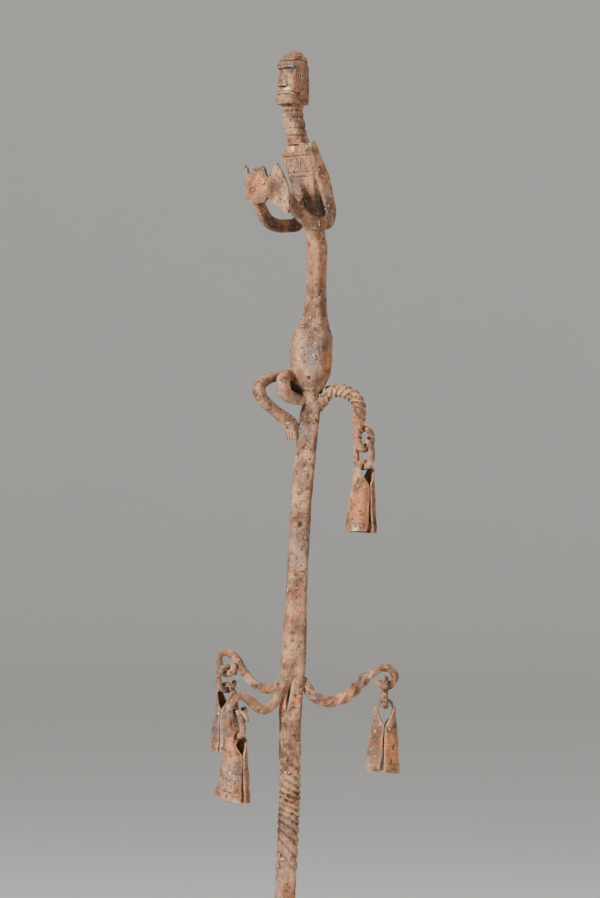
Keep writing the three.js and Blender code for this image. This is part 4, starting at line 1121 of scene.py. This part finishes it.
class STAFF_OT_bells(bpy.types.Operator):
    """Makes the four bells, each one strip of iron folded over its ring and hammered round"""
    bl_idname = "staff.bells"
    bl_label = "Bells"

    # Room between the ring's wire and the fold, and from the fold out to the top of the legs
    FOLD_ROOM = 0.0021
    NECK_ROOM = 0.0019
    # Room that the dents take at the mouth
    DENT_ROOM = 0.0005
    STRAP_WIDTH = 0.007
    HEM_HEIGHT = 0.0068
    HEM_THICKNESS = 0.0009
    # From the fold down to where the legs' edges close
    EYE_HEIGHT = 0.015
    # How far a leg's centre lies off the middle plane, and how far its edges reach back to that plane
    CENTRE_SHIFT = 0.0003
    EDGE_REACH = 0.0002
    # Distance between dents, their depth, what folds add to it, and its shares sideways, in depth and upright
    DENT_SIZE = 0.014
    DENT_DEPTH = 0.0006
    FOLD_DEPTH = 0.0003
    DENT_SHARES = (1, 0.5, 2.2)

    def execute(self, context):
        for seed, (name, chime) in enumerate(CHIMES.items(), BELL_SEED):
            forged_skin(f"{name}_bell", self.strip(chime, context.scene.staff_sizes, seed), "bell_rust", seed,
                        f"{name}_bell", hammer_depth=0.0003, pit_depth=0.0003, hammer_size=0.011)
        return {"FINISHED"}

    def strip(self, chime, sizes, seed):
        """Rings of points up one leg, over the ring and down the other leg."""
        wire, thin = sizes.ring_wire, sizes.strip_thickness
        hinge = ring_middle(chime) + UP * (wire - chime["ring_height"]) / 2
        tunnel = level_way(chime["bell_turn"])
        lean = chime["lean"]
        upright = UP * math.cos(lean) + np.cross(tunnel, UP) * math.sin(lean)
        swing = np.cross(upright, tunnel)
        saddle = wire / 2 + self.FOLD_ROOM + thin
        drop = chime["bell_height"] - saddle
        neck = saddle + self.NECK_ROOM
        mouth = chime["mouth_width"] / 2 - self.DENT_ROOM
        flat = math.asin(self.STRAP_WIDTH / 2 / neck)
        hem = self.HEM_HEIGHT / drop
        eye = 1 - self.EYE_HEIGHT / drop
        # Up a leg: how wide it stands, and how far it's hammered round, from a half cone to a flat strap
        table = [
            (0, 1, 1), (hem * 0.94, 0.95, 1), (hem * 1.08, 0.86, 1), (0.3, 0.71, 1), (0.52, 0.49, 1), (eye, 0.29, 1),
            (eye + (1 - eye) * 0.3, 0.13, 0.74), (eye + (1 - eye) * 0.58, 0.04, 0.42), (1, 0, 0.04),
        ]
        share = np.linspace(0, 0.97, 84)
        shape = read(table, share)

        def ring(way, rise, outside, spread, radius, thick):
            at = hinge + way * outside + rise
            return [at + tunnel * wide + way * deep for wide, deep in self.gutter(radius, spread, thick)]

        def leg(way):
            rings = []
            for rise, (swell, fold) in zip(share, shape):
                outside = neck + swell * (mouth - neck)
                radius = outside - self.CENTRE_SHIFT
                closed = flat + fold * (PI / 2 + self.EDGE_REACH / radius - flat)
                folded = self.HEM_THICKNESS * np.clip((hem - rise) / (0.15 * hem) + 1, 0, 1)
                rings.append(ring(
                    way, upright * ((rise - 1) * drop), outside,
                    (closed - fold * chime["slit"] * (1 - rise) ** 2, closed), radius, thin + folded))
            return rings

        loop = [
            ring(swing * math.cos(angle) + upright * math.sin(angle), UP * 0, saddle, (flat, flat), neck, thin)
            for angle in np.linspace(0.02 * PI, 0.98 * PI, 30)]
        rings = np.array([*leg(swing), *loop, *reversed(leg(-1 * swing))])
        return self.dented(rings, hinge, seed, chime["corner"])

    def gutter(self, radius, spread, thick):
        """Section of a leg: spread is how far it's bent round to the front and to the back."""
        angles = np.linspace(spread[0], -spread[1], 31)
        inner_radius = radius - thick
        return [
            *((radius * math.sin(angle), radius * math.cos(angle) - radius) for angle in angles),
            *((inner_radius * math.sin(angle), inner_radius * math.cos(angle) - radius) for angle in angles[::-1])]

    def dented(self, rings, hinge, seed, corner):
        """Dents below the eye, and the lower left corner worn away by as much as corner says."""
        low = fade(rings[..., 2:], hinge[2] - 0.012, -0.015)
        shift = np.zeros_like(rings)
        for index in np.ndindex(rings.shape[:2]):
            place = Vector(rings[index] / self.DENT_SIZE) + Vector((seed * 3.7, 0, 0))
            shift[index] = [noise.noise(place + Vector((0, apart, 0))) for apart in (0, 31.4, 62.8)]
        folds = np.array([[0.5 + 0.5 * math.sin(place[2] * 520 + 3 * math.sin(place[0] * 160 + seed))
                           for place in ring] for ring in rings])[..., None]
        shift = shift * (self.DENT_DEPTH + self.FOLD_DEPTH * folds)
        shift *= self.DENT_SHARES
        rings = rings + shift * low
        worn = fade(rings[..., 0], hinge[0] - 0.001, -0.0125) ** 2.8
        rings[..., 2] += corner * worn * fade(rings[..., 2], hinge[2] - 0.030, -0.018)
        return rings


class STAFF_OT_stage(bpy.types.Operator):
    """Makes the floor, the lights and the camera"""
    bl_idname = "staff.stage"
    bl_label = "Stage"

    FLOOR_REACH = 9.0
    FLOOR_BEND = 3.0
    WALL_TOP = 9.0
    # Lamps: place, width and power
    LAMPS = {
        "key_light": ((-1.7, -2.0, 2.2), 0.5, 255),
        "fill_light": ((2.2, -1.9, 1.2), 0.8, 34),
        "back_light": ((0.8, 1.6, 2.6), 1.4, 30),
    }
    LAMP_AIM = Vector((0, 0, 0.8))
    CAMERA_PLACE = (0.0075, -2.5, 0.80225)
    SENSOR_MM = 36
    # Height of what the camera sees at the staff
    SEEN = 0.6735

    def execute(self, context):
        self.floor()
        for name, lamp in self.LAMPS.items():
            self.lamp(name, *lamp)
        self.sky(context.scene)
        self.camera(context.scene)
        return {"FINISHED"}

    def floor(self):
        """A pale floor that rises to a wall all round."""
        bend = self.FLOOR_BEND
        rows = [(self.FLOOR_REACH / 15 * step, 0.0) for step in range(1, 16)]
        rows += [(self.FLOOR_REACH + bend * math.sin(turn), bend - bend * math.cos(turn))
                 for turn in np.linspace(0, PI / 2, 24)]
        rows.append((self.FLOOR_REACH + bend, self.WALL_TOP))
        count = 96
        turns = np.linspace(0, 2 * PI, count, endpoint=False)
        points = [(out * math.cos(turn), out * math.sin(turn), rise) for out, rise in rows for turn in turns]
        sides = [(side, (side + 1) % count) for side in range(count)]
        faces = [(low + a, low + count + a, low + count + b, low + b)
                 for low in range(0, (len(rows) - 1) * count, count) for a, b in sides]
        faces.append(tuple(range(count)))
        floor = new_piece("pale_floor", points, faces)
        for face in floor.data.polygons:
            face.use_smooth = True
        material = bpy.data.materials.new("pale_floor")
        material.use_nodes = True
        tree = material.node_tree
        shader = tree.nodes["Principled BSDF"]
        place = put(tree, "ShaderNodeTexCoord").outputs["Object"]
        cloud = put(tree, "ShaderNodeTexNoise", {"Vector": place, "Scale": 3.0, "Detail": 3.0}).outputs[0]
        tint = put(tree, "ShaderNodeMix", {"Factor": cloud, 6: (0.93, 0.92, 0.90, 1), 7: (0.95, 0.94, 0.92, 1)},
                   data_type="RGBA")
        tree.links.new(tint.outputs[2], shader.inputs["Base Color"])
        shader.inputs["Roughness"].default_value = 0.9
        floor.data.materials.append(material)

    def lamp(self, name, place, size, power):
        data = bpy.data.lights.new(name, "AREA")
        data.shape = "DISK"
        data.size = size
        data.energy = power
        lamp = placed(name, data)
        lamp.location = place
        lamp.rotation_euler = (self.LAMP_AIM - lamp.location).to_track_quat("-Z", "Y").to_euler()

    def sky(self, scene):
        world = bpy.data.worlds.new("soft_sky")
        world.use_nodes = True
        sky = world.node_tree.nodes["Background"]
        sky.inputs["Color"].default_value = (1.0, 0.99, 0.97, 1)
        sky.inputs["Strength"].default_value = 0.27
        scene.world = world

    def camera(self, scene):
        data = bpy.data.cameras.new("front_camera")
        data.sensor_width = self.SENSOR_MM
        data.lens = self.SENSOR_MM * -self.CAMERA_PLACE[1] / self.SEEN
        camera = placed("front_camera", data)
        camera.location = self.CAMERA_PLACE
        camera.rotation_euler = (PI / 2, 0, 0)
        scene.camera = camera


class STAFF_PT_panel(bpy.types.Panel):
    """Sizes, colours and pieces of the staff"""
    bl_idname = "STAFF_PT_panel"
    bl_label = "Iron Ritual Staff"
    bl_space_type = "VIEW_3D"
    bl_region_type = "UI"
    bl_category = "Staff"

    def draw(self, context):
        layout = self.layout
        for group in (context.scene.staff_sizes, context.scene.staff_colours):
            box = layout.box()
            for name in group.__annotations__:
                box.prop(group, name)
        for piece in PIECES:
            layout.operator(piece.bl_idname)


PIECES = [
    STAFF_OT_stage, STAFF_OT_bar, STAFF_OT_body, STAFF_OT_head, STAFF_OT_arms, STAFF_OT_legs,
    STAFF_OT_hooks, STAFF_OT_rings, STAFF_OT_bells,
]
CLASSES = [StaffSizes, StaffColours, *PIECES, STAFF_PT_panel]


def register():
    for each in CLASSES:
        bpy.utils.register_class(each)
    bpy.types.Scene.staff_sizes = bpy.props.PointerProperty(type=StaffSizes)
    bpy.types.Scene.staff_colours = bpy.props.PointerProperty(type=StaffColours)


def unregister():
    del bpy.types.Scene.staff_colours
    del bpy.types.Scene.staff_sizes
    for each in reversed(CLASSES):
        bpy.utils.unregister_class(each)


def main():
    register()
    bpy.ops.staff.stage()
    bpy.ops.staff.bar()
    bpy.ops.staff.body()
    bpy.ops.staff.head()
    bpy.ops.staff.arms()
    bpy.ops.staff.legs()
    bpy.ops.staff.hooks()
    bpy.ops.staff.rings()
    bpy.ops.staff.bells()


if __name__ == "__main__":
    main()
